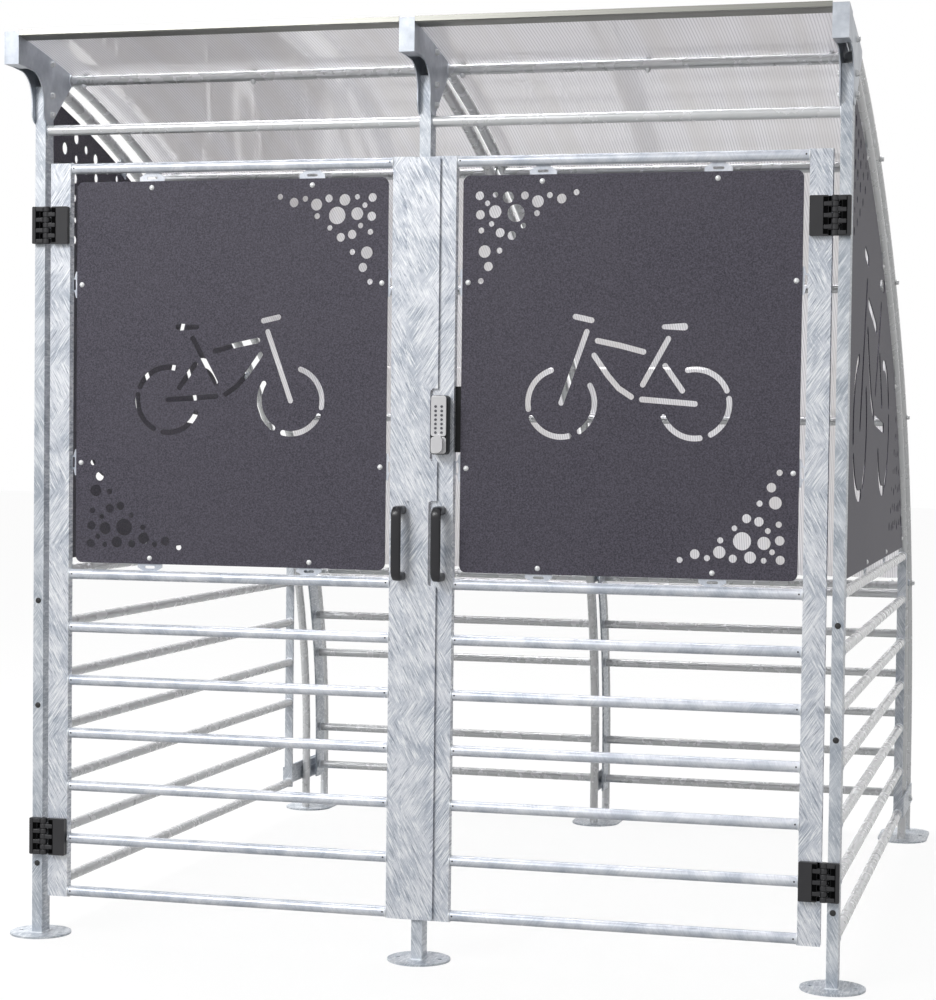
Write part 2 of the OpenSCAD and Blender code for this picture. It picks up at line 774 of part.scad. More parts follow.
// Flat strip over the meeting edges, fixed to the right door by a packing bar.
module cover_strip() {
    low = door_low + 2;
    h = door_top - 2 - low;
    color("lightsteelblue") place() difference() {
        union() {
            rounded_front(-cover_w / 2, -cover_gap - cover_t, low, cover_w, cover_t, h, 6);
            translate([door_in, -cover_gap, low]) cube([4, cover_gap, h]);
        }
        cover_notch(lock_x - lock_w / 2 - 8, lock_low - 17, lock_h + 34);
        cover_notch(handle_x - handle_w / 2 - 18, handle_z - handle_l / 2 - 12, handle_l + 24);
        cover_notch(-handle_x + handle_w / 2 + 12 - cover_w, handle_z - handle_l / 2 - 12,
                    handle_l + 24);
    }
}

// A slot through the cover strip and its packing bar, from x0 outwards.
module cover_notch(x0, z0, h) {
    rounded_front(x0, -cover_gap - cover_t - 1, z0, cover_w, cover_gap + cover_t + 2, h, 8);
}

// ---- hinges ----

// One half of a hinge: a flat leaf and the knuckles of one parity.
// dir is -1 for the half on the door and 1 for the half on the post.
module hinge_half(z, dir, reach, parity, bore) {
    leaf_w = reach - hinge_clear;
    x0 = dir > 0 ? pin_x + hinge_clear : pin_x - reach;
    finger = hinge_clear + 2;
    rounded_front(x0, -hinge_t, z - hinge_h / 2, leaf_w, hinge_t, hinge_h, 3);
    for (i = [parity : 2 : knuckle_n - 1]) {
        low = z - hinge_h / 2 + i * (knuckle_h + knuckle_gap);
        difference() {
            union() {
                translate([pin_x, pin_y, low]) cylinder(h = knuckle_h, r = knuckle_r);
                translate([dir > 0 ? pin_x : pin_x - finger, pin_y - 5, low])
                    cube([finger, 10, knuckle_h]);
            }
            translate([pin_x, pin_y, low - 1]) cylinder(h = knuckle_h + 2, d = bore);
        }
    }
}

// The fixed halves of all four hinges, with their pins.
module post_hinge_leaves() {
    color([0.12, 0.12, 0.13])
        for (side = [-1, 1]) leaf(side) for (z = hinge_zs) {
            hinge_half(z, 1, hinge_post_reach, 0, pin_d - 0.5);
            translate([pin_x, pin_y, z - hinge_h / 2]) cylinder(h = hinge_h, d = pin_d);
        }
}

module door_hinge_leaves(side) {
    color([0.12, 0.12, 0.13]) leaf(side)
        for (z = hinge_zs) hinge_half(z, -1, hinge_reach, 1, pin_d + 2 * pin_clear);
}

// ---- handles and lock ----

// A bow handle: a grip and two arms, drawn in (y, z) and as wide as it is.
module handle(side) {
    color([0.13, 0.13, 0.14]) leaf(side)
        along_x(handle_x - handle_w / 2, handle_w)
            translate([-handle_out, handle_z - handle_l / 2]) difference() {
                union() {
                    rounded_rect(handle_out - 1, handle_l, 14);
                    translate([handle_out / 2, 0]) square([handle_out / 2, handle_l]);
                }
                translate([grip_t, 22]) rounded_rect(handle_out, handle_l - 44, 8);
            }
}

// Keypad lock, without its buttons.
module lock_body() {
    color([0.62, 0.62, 0.63]) place()
        difference() {
            rounded_front(lock_x - lock_w / 2, -lock_d, lock_low, lock_w, lock_d, lock_h, 9);
            translate([lock_x, 12 - lock_d, knob_z]) rotate([90, 0, 0])
                cylinder(h = lock_d, d = spindle_d + 1);
        }
}

// Latch case beside the stile, behind the panel, on the inside of the keypad lock.
module lock_case() {
    color([0.12, 0.12, 0.13]) place()
        translate([door_in + stile_w, door_rail_y + panel_t / 2 + 0.5, lock_low + 6])
            cube([30, 18, 164]);
}

// Oval turn knob on the keypad lock, on its own spindle.
module lock_knob() {
    straight = knob_h - knob_w;
    color([0.62, 0.62, 0.63]) place()
        translate([lock_x, -lock_d, knob_z]) rotate([90, 0, 0]) {
            translate([0, 0, 2]) linear_extrude(13) {
                square([knob_w, straight], center = true);
                for (end = [-1, 1]) translate([0, end * straight / 2]) circle(d = knob_w);
            }
            translate([0, 0, -10]) cylinder(h = 14, d = spindle_d);
        }
}

front_post(-bay_w);  // front_post_left
front_post(0);  // front_post_centre
front_post(bay_w);  // front_post_right
head_bracket(-bay_w);  // head_bracket_left
head_bracket(0);  // head_bracket_centre
head_bracket(bay_w);  // head_bracket_right
rib_outer(-bay_w);  // rib_outer_left
rib_outer(0);  // rib_outer_centre
rib_outer(bay_w);  // rib_outer_right
rib_inner(-bay_w);  // rib_inner_left
rib_inner(0);  // rib_inner_centre
rib_inner(bay_w);  // rib_inner_right
rib_foot(-bay_w);  // rib_foot_left
rib_foot(0);  // rib_foot_centre
rib_foot(bay_w);  // rib_foot_right
header_tubes();
purlins();
roof_sheet(-1);  // roof_sheet_left
roof_sheet(1);  // roof_sheet_right
roof_edges();
side_rails(-1);  // side_rails_left
side_rails(1);  // side_rails_right
side_upright(-1);  // side_upright_left
side_upright(1);  // side_upright_right
side_panel(-1);  // side_panel_left
side_panel(1);  // side_panel_right
side_tabs(-1);  // side_tabs_left
side_tabs(1);  // side_tabs_right
rear_rails(-1);  // rear_rails_left
rear_rails(1);  // rear_rails_right
rear_strips(-1);  // rear_strips_left
rear_strips(1);  // rear_strips_right
door_frame(-1);  // door_frame_left
door_frame(1);  // door_frame_right
door_panel(-1);  // door_panel_left
door_panel(1);  // door_panel_right
cover_strip();
post_hinge_leaves();
door_hinge_leaves(-1);  // door_hinge_leaves_left
door_hinge_leaves(1);  // door_hinge_leaves_right
handle(-1);  // handle_left
handle(1);  // handle_right
lock_body();
lock_case();
lock_knob();
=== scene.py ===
# %% [markdown]
# # A bike shelter of galvanised tube
# Two bays stand under one curved roof. Three ribs of twin bent tube carry a sheet of
# translucent twin-wall plastic, rails close the sides and the back, and a pair of
# doors with dark perforated panels closes the front. The steelwork was drawn and
# measured in CAD first. This notebook loads it as a fixed frame, gives every part its
# finish, and adds what a fitter adds on site: bolts, welds, plugs and buttons.

# %% Load the measured frame
import math

import bmesh
import bpy
from mathutils import Matrix, Vector


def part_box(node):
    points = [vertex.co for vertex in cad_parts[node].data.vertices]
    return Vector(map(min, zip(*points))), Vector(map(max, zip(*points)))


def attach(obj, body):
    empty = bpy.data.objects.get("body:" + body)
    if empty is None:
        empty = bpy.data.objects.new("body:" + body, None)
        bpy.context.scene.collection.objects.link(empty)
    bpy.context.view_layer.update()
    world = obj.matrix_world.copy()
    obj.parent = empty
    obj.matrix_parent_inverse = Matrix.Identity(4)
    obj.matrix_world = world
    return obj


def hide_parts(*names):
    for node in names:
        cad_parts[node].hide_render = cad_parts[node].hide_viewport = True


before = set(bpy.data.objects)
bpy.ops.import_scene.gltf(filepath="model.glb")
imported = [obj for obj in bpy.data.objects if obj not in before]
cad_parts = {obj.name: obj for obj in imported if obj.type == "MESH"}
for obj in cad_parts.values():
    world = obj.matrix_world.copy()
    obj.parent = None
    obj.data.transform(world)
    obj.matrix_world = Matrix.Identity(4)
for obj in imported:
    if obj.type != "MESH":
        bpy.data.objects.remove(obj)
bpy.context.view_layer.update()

# %% [markdown]
# ## Sizes
# Every piece below is placed in millimetres, with its depth counted from the front
# face of the posts, because that is how a fitter would measure it. One function turns
# such a place into the metres of the frame. The side rails start at the back of the
# 48 mm deep post, so their box says where that front face is.

# %% Sizes in millimetres
BAY = 1040
POST_W, POST_D = 28, 48
TUBE = 27
PLATE_T = 5
front_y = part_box("side_rails_right")[0][1] - POST_D / 1000
RAILS = [120 + 139 * i for i in range(7)]
REAR_RAILS = [146 + 135 * i for i in range(6)]
DOOR_TOP_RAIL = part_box("door_frame_right")[1][2] * 1000 - TUBE / 2
DOOR_IN, DOOR_OUT, STILE = 27, 1010, 55
DOORS = ((-1, "door_left"), (1, "door_right"))


def at(x, y, z):
    """A place in the frame, from millimetres with y counted from the posts' front."""
    return Vector((x / 1000, front_y + y / 1000, z / 1000))


print("posts' front face at y = %.4f m, top rail at %.1f mm" % (front_y, DOOR_TOP_RAIL))

# %% [markdown]
# ## The curve of the roof
# A rib is bent from two arcs, a flat one over the doors and a steep one at the back,
# and its inner tube spreads from the outer one by two degrees. The centres of the arcs
# are worked out from the sizes the tubes were bent to. Purlins and roof screws follow
# the outer tube, and the back rails lie midway between the two, so short functions give
# points on those curves.

# %% Centres of the arcs
DEPTH, ROOF_H, ROOF_R, BACK_R, SHOULDER = 2400, 2303, 4050, 1655, 37
GAP_BASE, GAP_FRONT, SPLAY = 205, 53, 2


def step(slope, length):
    """(y, z) of a straight step of length mm, square to a slope in degrees."""
    return length * math.sin(math.radians(slope)), length * math.cos(math.radians(slope))


back_y = DEPTH - BACK_R
step_y, step_z = step(SHOULDER, ROOF_R - BACK_R)
front_reach = POST_D / 2 - (back_y - step_y)
front_z = ROOF_H - math.sqrt(ROOF_R ** 2 - front_reach ** 2)
KNEE_Z = front_z + step_z
OUTER_BACK, OUTER_FRONT = (back_y, KNEE_Z, BACK_R), (back_y - step_y, front_z, ROOF_R)

start = math.degrees(math.asin(front_reach / ROOF_R))
inward, outward = step(start, ROOF_R - GAP_FRONT), step(start + SPLAY, ROOF_R)
inner_y, inner_z = [OUTER_FRONT[i] + inward[i] - outward[i] for i in (0, 1)]
INNER_FRONT = (inner_y, inner_z, ROOF_R)
reach, rise = DEPTH - GAP_BASE - inner_y, KNEE_Z - inner_z
inner_r = (ROOF_R ** 2 - reach ** 2 - rise ** 2) / (2 * (ROOF_R - reach))
INNER_BACK = (DEPTH - GAP_BASE - inner_r, KNEE_Z, inner_r)
INNER_SHOULDER = math.degrees(math.atan2(INNER_BACK[0] - inner_y, rise))
print("knee at %.1f mm, inner arc of %.1f mm radius" % (KNEE_Z, inner_r))


# %% Points on the tubes
def on_roof(slope, drop=0):
    """(y, z) on the outer tube's curve at a slope in degrees, drop mm inside it."""
    y, z, r = OUTER_FRONT if slope < SHOULDER else OUTER_BACK
    turn = math.radians(slope)
    return y + (r - drop) * math.sin(turn), z + (r - drop) * math.cos(turn)


def slope_at_run(run, start):
    """The slope reached after run mm along the curve from a starting slope."""
    flat = OUTER_FRONT[2] * math.radians(SHOULDER - start)
    if run < flat:
        return start + math.degrees(run / OUTER_FRONT[2])
    return SHOULDER + math.degrees((run - flat) / OUTER_BACK[2])


def between_tubes(z):
    """Depth of the middle of a rib's twin tubes at height z, over the rear plates."""
    y, r = [(OUTER_BACK[i] + INNER_BACK[i]) / 2 for i in (0, 2)]
    return y + r if z < KNEE_Z else y + math.sqrt(r * r - (z - KNEE_Z) ** 2)


PURLIN_DROP, PURLIN_FRONT, PURLIN_LOW, PURLIN_COUNT = 22.05, 150, 845, 5
first = math.degrees(math.asin((PURLIN_FRONT - OUTER_FRONT[0]) / (ROOF_R - PURLIN_DROP)))
last = math.degrees(math.acos((PURLIN_LOW - KNEE_Z) / (BACK_R - PURLIN_DROP)))
whole_run = (OUTER_FRONT[2] * math.radians(SHOULDER - first)
             + OUTER_BACK[2] * math.radians(last - SHOULDER))
PURLINS = [slope_at_run(whole_run * i / (PURLIN_COUNT - 1), first)
           for i in range(PURLIN_COUNT)]
print("purlins at slopes", [round(s, 1) for s in PURLINS])

# %% [markdown]
# ## Two small tools for node trees
# A colour is written as people quote it, as an sRGB hex value, and one function turns
# it into the linear numbers that the renderer adds up. A second function adds one
# node with its settings and its links, so that a tree reads as a list of its nodes.

# %% Colour and node helpers
def srgb(code):
    """A hex colour as linear red, green, blue and alpha."""
    parts = [int(code[i:i + 2], 16) / 255 for i in (0, 2, 4)]
    return tuple(c / 12.92 if c <= 0.04045 else ((c + 0.055) / 1.055) ** 2.4
                 for c in parts) + (1.0,)


def add(tree, kind, settings=(), links=()):
    """Adds a node: settings are its properties and sockets, links feed its sockets."""
    made = tree.nodes.new(kind)
    for key, value in dict(settings).items():
        if isinstance(key, str) and hasattr(made, key):
            setattr(made, key, value)
        else:
            made.inputs[key].default_value = value
    for key, source in dict(links).items():
        tree.links.new(source, made.inputs[key])
    return made


print("the dark of the door's zinc in linear light:", [round(c, 3) for c in srgb("B4BBC7")])

# %% [markdown]
# ## Starting a material
# All the finishes start the same way: a Principled shader, and Object coordinates in
# metres, so that a grain or a scratch keeps its real size on every part and stays
# still when a door swings. Patterns are sized with a Mapping node set to Texture: its
# scale is the size of one feature, here given in millimetres.

# %% The start of every material
def new_material(name, **uniform):
    """A material, its tree, its shader and its object coordinates."""
    made = bpy.data.materials.new(name)
    made.use_nodes = True
    tree = made.node_tree
    tree.nodes.clear()
    shader = add(tree, "ShaderNodeBsdfPrincipled")
    for key, value in uniform.items():
        shader.inputs[key.replace("_", " ")].default_value = value
    add(tree, "ShaderNodeOutputMaterial", {}, {"Surface": shader.outputs["BSDF"]})
    where = add(tree, "ShaderNodeTexCoord").outputs["Object"]
    return made, tree, shader, where


def stretched(tree, where, size, turn=0):
    """Coordinates whose unit is size mm along x, y and z, turned about y."""
    size = Vector(size) / 1000
    return add(tree, "ShaderNodeMapping",
               {"vector_type": "TEXTURE", "Scale": size,
                "Rotation": (0, math.radians(turn), 0)},
               {"Vector": where}).outputs["Vector"]


def blend_colours(tree, share, first, second, mode="MIX"):
    """Mixes two colours or colour sockets by a share, a number or a socket."""
    made = add(tree, "ShaderNodeMix", {"data_type": "RGBA", "blend_type": mode})
    for index, value in ((0, share), (6, first), (7, second)):
        if isinstance(value, bpy.types.NodeSocket):
            tree.links.new(value, made.inputs[index])
        else:
            made.inputs[index].default_value = value
    return made.outputs[2]


def ramp(tree, source, stops):
    """A colour ramp from (position, brightness) stops."""
    made = add(tree, "ShaderNodeValToRGB", {}, {"Fac": source})
    places = made.color_ramp.elements
    while len(places) < len(stops):
        places.new(0.5)
    for place, (position, level) in zip(places, stops):
        place.position = position
        place.color = (level, level, level, 1)
    return made.outputs["Color"]


def bump(tree, height, depth_mm, strength=1.0):
    """A bump whose full height is depth_mm."""
    return add(tree, "ShaderNodeBump", {"Distance": depth_mm / 1000, "Strength": strength},
               {"Height": height}).outputs["Normal"]


print("material helpers ready")

# %% [markdown]
# ## Hot-dip galvanised steel
# The tubes, posts and doors were welded up and then dipped in molten zinc. The zinc
# freezes into a bright blue-grey skin with soft clouds, and with drag marks that slant
# across the flat bars. To the eye it is a metal with a broad sheen, whitish where it
# faces the sky. Clouds come from a slow noise. Drag marks are a noise stretched along
# one of two slanting directions, and another noise chooses which. They would break the
# line of a round rail, so between the stiles of a door they fade to a fifth.

# %% Galvanised finishes
def galvanised(name, light, dark, marks, roughness, metallic, lumps_mm=0.12):
    """Zinc with clouds from light to dark, and drag marks of a given strength."""
    made, tree, shader, where = new_material(
        name, Metallic=metallic, Base_Color=srgb(light))
    cloud = add(tree, "ShaderNodeTexNoise", {"Scale": 14.0, "Detail": 5.0, "Roughness": 0.6},
                {"Vector": where})
    tone = blend_colours(tree, ramp(tree, cloud.outputs["Fac"], [(0.36, 0.0), (0.64, 1.0)]),
                         srgb(dark), srgb(light))
    if marks:
        patch = add(tree, "ShaderNodeTexNoise", {"Scale": 6.0, "Detail": 1.0}, {"Vector": where})
        patch = ramp(tree, patch.outputs["Fac"], [(0.44, 0.0), (0.50, 1.0)])
        drags = [add(tree, "ShaderNodeTexNoise",
                     {"Scale": 1.0, "Detail": 4.0, "Roughness": 0.75, "Distortion": 0.5},
                     {"Vector": stretched(tree, where, (width, 30, length), turn)})
                 for turn, length, width in ((34, 60, 3.4), (-28, 48, 3.8))]
        drag = blend_colours(tree, patch, drags[0].outputs["Fac"], drags[1].outputs["Fac"])
        across = add(tree, "ShaderNodeSeparateXYZ", {}, {0: where}).outputs["X"]
        across = add(tree, "ShaderNodeMath", {"operation": "ABSOLUTE"}, {0: across}).outputs[0]
        middle, half_rail = (DOOR_IN + DOOR_OUT) / 2000, (DOOR_OUT - DOOR_IN) / 2000 - STILE / 1000
        away = add(tree, "ShaderNodeMath", {"operation": "SUBTRACT", 1: middle}, {0: across})
        away = add(tree, "ShaderNodeMath", {"operation": "ABSOLUTE"}, {0: away.outputs[0]})
        flat = add(tree, "ShaderNodeMapRange",
                   {"From Min": half_rail - 0.0005, "From Max": half_rail,
                    "To Min": marks * 0.2, "To Max": marks},
                   {"Value": away.outputs[0]}).outputs["Result"]
        for stops, colour in (([(0.51, 0.0), (0.60, 1.0)], "FAFCFE"),
                              ([(0.36, 1.0), (0.46, 0.0)], "7C8595")):
            share = add(tree, "ShaderNodeMath", {"operation": "MULTIPLY"},
                        {0: ramp(tree, drag, stops), 1: flat}).outputs[0]
            tone = blend_colours(tree, share, tone, srgb(colour))
    tree.links.new(tone, shader.inputs["Base Color"])
    sheen = add(tree, "ShaderNodeMapRange",
                {"To Min": roughness - 0.08, "To Max": roughness + 0.10},
                {"Value": cloud.outputs["Fac"]})
    tree.links.new(sheen.outputs["Result"], shader.inputs["Roughness"])
    tree.links.new(bump(tree, cloud.outputs["Fac"], lumps_mm, 0.15), shader.inputs["Normal"])
    return made


zinc_tube = galvanised("hot_dip_zinc_on_tube", "D4D5D7", "CDCFD1", 0, 0.26, 0.30, 0.02)
zinc_plate = galvanised("hot_dip_zinc_on_plate", "CDD2D9", "A1A9B4", 0.50, 0.38, 0.30)
zinc_door = galvanised("hot_dip_zinc_on_door_stiles", "DDE0E7", "B4BBC7", 0.80, 0.34, 0.30)
zinc_bracket = galvanised("dull_zinc_on_folded_plate", "CDD2D9", "A6ACB6", 0, 0.38, 0.45)
print("4 zinc finishes")

# %% [markdown]
# ## Fine-textured powder coat
# The panels are laser-cut steel sheet with an anthracite polyester powder coat. The
# powder melts into a skin with a fine sandy texture, so it looks almost black-grey
# and matt, with a faint sparkle. The real grain is about 0.3 mm, too fine to show from
# a few metres, so it is drawn as a mottle with grains of about 4 mm.

# %% Panel finish
coat, tree, shader, where = new_material(
    "anthracite_textured_powder_coat", Base_Color=srgb("47454C"), Roughness=0.55,
    Specular_IOR_Level=0.22)
sand = add(tree, "ShaderNodeTexNoise", {"Scale": 240.0, "Detail": 3.0, "Roughness": 0.8},
           {"Vector": where})
haze = add(tree, "ShaderNodeTexNoise", {"Scale": 5.0, "Detail": 3.0}, {"Vector": where})
speck = ramp(tree, sand.outputs["Fac"], [(0.38, 0.0), (0.62, 1.0)])
tone = blend_colours(tree, speck, srgb("37353E"), srgb("5D5A66"))
tone = blend_colours(tree, ramp(tree, haze.outputs["Fac"], [(0.3, 0.0), (0.8, 0.25)]),
                     tone, srgb("5A5760"))
tree.links.new(tone, shader.inputs["Base Color"])
tree.links.new(bump(tree, sand.outputs["Fac"], 0.25, 0.5), shader.inputs["Normal"])
print("panel finish ready")

# %% [markdown]
# ## Twin-wall polycarbonate
# The roof is an extruded sheet: two thin skins joined by ribs every 8 mm or so, which
# show as fine lines that run down the slope. It lets a soft light through but no clear
# picture. A wave across the sheet draws the lines. Four fifths of the light go through
# and the rest is scattered by the body colour, and a glossy coat mirrors the sky.

# %% Roof sheet finish
LINE_PITCH = 0.0078
sheet_finish, tree, shader, where = new_material(
    "twin_wall_polycarbonate", Base_Color=srgb("E4E2E6"), Roughness=0.30,
    Transmission_Weight=0.80, IOR=1.15, Coat_Weight=1.0, Coat_Roughness=0.06,
    Coat_IOR=1.8)
cells = add(tree, "ShaderNodeTexWave",
            {"wave_type": "BANDS", "bands_direction": "X", "wave_profile": "SIN",
             "Scale": math.pi / 10 / LINE_PITCH, "Distortion": 0.0},
            {"Vector": where})
lines = ramp(tree, cells.outputs["Fac"], [(0.05, 0.0), (0.45, 1.0)])
broad = add(tree, "ShaderNodeTexNoise", {"Scale": 1.0, "Detail": 2.0},
            {"Vector": stretched(tree, where, (70, 3000, 3000))})
tone = blend_colours(tree, lines, srgb("C2BFC4"), srgb("F8F7FA"))
tone = blend_colours(tree, ramp(tree, broad.outputs["Fac"], [(0.42, 0.0), (0.62, 0.5)]),
                     tone, srgb("D6D2D0"))
tree.links.new(tone, shader.inputs["Base Color"])
tree.links.new(bump(tree, cells.outputs["Fac"], 0.3, 0.3), shader.inputs["Normal"])

edge_finish, tree, shader, where = new_material(
    "mill_finish_aluminium", Base_Color=srgb("7C7C77"), Metallic=0.85, Roughness=0.38)
drawn = add(tree, "ShaderNodeTexNoise", {"Scale": 1.0, "Detail": 3.0},
            {"Vector": stretched(tree, where, (300, 0.8, 0.8))})
tree.links.new(blend_colours(tree, drawn.outputs["Fac"], srgb("686864"), srgb("92928C")),
               shader.inputs["Base Color"])
tree.links.new(bump(tree, drawn.outputs["Fac"], 0.08, 0.4), shader.inputs["Normal"])
print("roof finishes ready")

# %% [markdown]
# ## Moulded plastic, lock paint and small metal
# Hinges and handles are moulded from black nylon with a fine spark-eroded texture.
# The keypad lock has a black housing, and covers and a knob in satin silver paint.
# Bolts are bright zinc plate,
# smoother and whiter than the dipped steel round them, and welds were dipped with the
# frame, so they look like it but a little whiter and rougher.

# %% Small finishes
def moulded(name, light, dark, roughness, grain_mm=0.9, metallic=0.0, gloss=0.5):
    """Plastic or paint with a fine eroded texture; the grain is drawn coarse to show."""
    made, tree, shader, where = new_material(
        name, Base_Color=srgb(light), Roughness=roughness, Metallic=metallic,
        Specular_IOR_Level=gloss)
    grain = add(tree, "ShaderNodeTexNoise", {"Scale": 1000 / grain_mm, "Detail": 2.0},
                {"Vector": where})
    cloud = add(tree, "ShaderNodeTexNoise", {"Scale": 25.0, "Detail": 3.0}, {"Vector": where})
    tree.links.new(blend_colours(tree, cloud.outputs["Fac"], srgb(dark), srgb(light)),
                   shader.inputs["Base Color"])
    tree.links.new(bump(tree, grain.outputs["Fac"], 0.12, 0.5), shader.inputs["Normal"])
    return made


hinge_plastic = moulded("black_moulded_nylon", "2F2F32", "222225", 0.36, gloss=0.4)
grip_plastic = moulded("black_satin_nylon", "252529", "1B1B1F", 0.30, 0.6, gloss=0.4)
lock_paint = moulded("satin_silver_lock_paint", "D8D8DA", "C8C8CB", 0.26, 0.5, 0.30)
case_paint = moulded("black_enamel", "111114", "0B0B0D", 0.42, gloss=0.25)
# dark grey buttons: painted shade for the shadow each raised button casts
button_grey_with_painted_shade = moulded("dark_grey_buttons_with_painted_shade", "6A6A70", "4A4A50", 0.25, 0.6, 0.7)
bolt_zinc = moulded("bright_zinc_plated_steel", "F8F9FA", "E2E4E6", 0.25, 0.8, 0.25)
weld_zinc = moulded("dipped_weld_bead", "F0F3F6", "CFD5DD", 0.45, 1.5, 0.30)
# black rubber for the post plugs; the same black is painted shade in the drain holes
plug_rubber_and_hole_shade = moulded("black_rubber_plug_and_painted_hole_shade", "1E1E20", "141416", 0.5)
print("8 small finishes ready")

# %% [markdown]
# ## Dress the CAD parts
# The CAD parts keep their shape and only change their material. A part's first words
# say what it is, so a short list of name starts is enough to dress all of them.

# %% Give every CAD part its finish
FINISHES = (
    ("head_bracket", zinc_bracket), ("front_post", zinc_plate), ("rib_foot", zinc_plate),
    ("side_upright", zinc_plate), ("side_tabs", zinc_plate), ("rear_strips", zinc_plate),
    ("door_frame", zinc_door), ("cover_strip", zinc_door), ("roof_sheet", sheet_finish),
    ("roof_edges", edge_finish), ("side_panel", coat), ("door_panel", coat),
    ("post_hinge", hinge_plastic), ("door_hinge", hinge_plastic), ("handle", grip_plastic),
    ("lock_case", case_paint), ("lock_body", case_paint), ("lock_knob", lock_paint),
    ("", zinc_tube),
)
for name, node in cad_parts.items():
    finish = next(material for start, material in FINISHES if name.startswith(start))
    node.data.materials.clear()
    node.data.materials.append(finish)
print("dressed", len(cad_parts), "parts")

# %% [markdown]
# ## Geometry Nodes for what repeats
# A bolt is the same wherever it sits. So a bolt is drawn once, in a node tree, and
# stood on a list of sites, each a point with the direction it faces. The sites are
# the vertices of a small mesh, and the direction is an attribute on them. The result
# becomes a plain mesh, one for each body, and rides on that body.

# %% The start and the end of a tree
def new_tree(name, sizes):
    """A geometry tree with named inputs, and its group's sockets."""
    tree = bpy.data.node_groups.new(name, "GeometryNodeTree")
    face = tree.interface
    face.new_socket("Geometry", in_out="INPUT", socket_type="NodeSocketGeometry")
    for label, value in sizes.items():
        kind = "NodeSocketInt" if isinstance(value, int) else "NodeSocketFloat"
        face.new_socket(label, in_out="INPUT", socket_type=kind).default_value = value
    face.new_socket("Material", in_out="INPUT", socket_type="NodeSocketMaterial")
    face.new_socket("Geometry", in_out="OUTPUT", socket_type="NodeSocketGeometry")
    return tree, add(tree, "NodeGroupInput").outputs, add(tree, "NodeGroupOutput").inputs


def finish_tree(tree, given, end, geometry):
    """The tree's end: realised, then given its material."""
    plain = add(tree, "GeometryNodeRealizeInstances", {}, {"Geometry": geometry})
    dressed = add(tree, "GeometryNodeSetMaterial", {},
                  {"Geometry": plain.outputs["Geometry"], "Material": given["Material"]})
    tree.links.new(dressed.outputs["Geometry"], end["Geometry"])


print("tree ends ready")


# %% Steps inside a tree
def moved(tree, mesh, height, grow=(1, 1, 1)):
    """A mesh lifted by a height socket and scaled."""
    lift = add(tree, "ShaderNodeCombineXYZ", {}, {"Z": height}).outputs["Vector"]
    return add(tree, "GeometryNodeTransform", {"Scale": grow},
               {"Geometry": mesh, "Translation": lift}).outputs["Geometry"]


def joined(tree, *meshes):
    """Several meshes as one."""
    made = add(tree, "GeometryNodeJoinGeometry")
    for mesh in meshes:
        tree.links.new(mesh, made.inputs["Geometry"])
    return made.outputs["Geometry"]


def sum_of(tree, first, second, operation="ADD"):
    """A number worked out from two sockets or numbers."""
    made = add(tree, "ShaderNodeMath", {"operation": operation})
    for index, value in enumerate((first, second)):
        if isinstance(value, bpy.types.NodeSocket):
            tree.links.new(value, made.inputs[index])
        else:
            made.inputs[index].default_value = value
    return made.outputs[0]


def stand_on_sites(tree, given, part):
    """The part on every site, with its z turned the way the site faces."""
    facing = add(tree, "GeometryNodeInputNamedAttribute",
                 {"data_type": "FLOAT_VECTOR", "Name": "facing"})
    facing = next(s for s in facing.outputs if s.enabled and s.name == "Attribute")
    turn = add(tree, "FunctionNodeAlignRotationToVector", {"axis": "Z"}, {"Vector": facing})
    return add(tree, "GeometryNodeInstanceOnPoints", {},
               {"Points": given["Geometry"], "Instance": part,
                "Rotation": turn.outputs["Rotation"]}).outputs["Instances"]


print("tree steps ready")


# %% From a tree to a plain piece
def grow(name, source, tree, values, body, slot):
    """Runs a tree on a source object and keeps the result as a plain riding piece."""
    modifier = source.modifiers.new("grow", "NODES")
    modifier.node_group = tree
    for item in tree.interface.items_tree:
        if item.in_out == "INPUT" and item.name in values:
            modifier[item.identifier] = values[item.name]
    graph = bpy.context.evaluated_depsgraph_get()
    mesh = bpy.data.meshes.new_from_object(source.evaluated_get(graph), depsgraph=graph)
    bpy.data.objects.remove(source)
    piece = bpy.data.objects.new(name, mesh)
    bpy.context.scene.collection.objects.link(piece)
    mesh.materials.clear()
    mesh.materials.append(values["Material"])
    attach(piece, body)
    mesh.calc_loop_triangles()
    print("%s: %d triangles on %s" % (name, len(mesh.loop_triangles), body))
    return piece


def sites_object(sites):
    """Sites as an object: (place, direction) pairs."""
    mesh = bpy.data.meshes.new("sites")
    mesh.from_pydata([place for place, _ in sites], [], [])
    facing = mesh.attributes.new("facing", "FLOAT_VECTOR", "POINT")
    for item, (_, direction) in zip(facing.data, sites):
        item.vector = direction
    source = bpy.data.objects.new("sites", mesh)
    bpy.context.scene.collection.objects.link(source)
    return source


X, Y, Z = Vector((1, 0, 0)), Vector((0, 1, 0)), Vector((0, 0, 1))
print("sites face along", X[:], Y[:], "or", Z[:])

# %% [markdown]
# ## The trees: a hex bolt, a dome and a weld bead
# A structural bolt is a six-sided head on a round washer. A panel screw is a low dome
# on a collar, and the black plugs and the lock's buttons are the same shape in other
# sizes. A weld bead follows a path, so its tree sweeps a small circle along the path
# and then roughens it with a noise, which gives the ripples of a hand-laid bead.

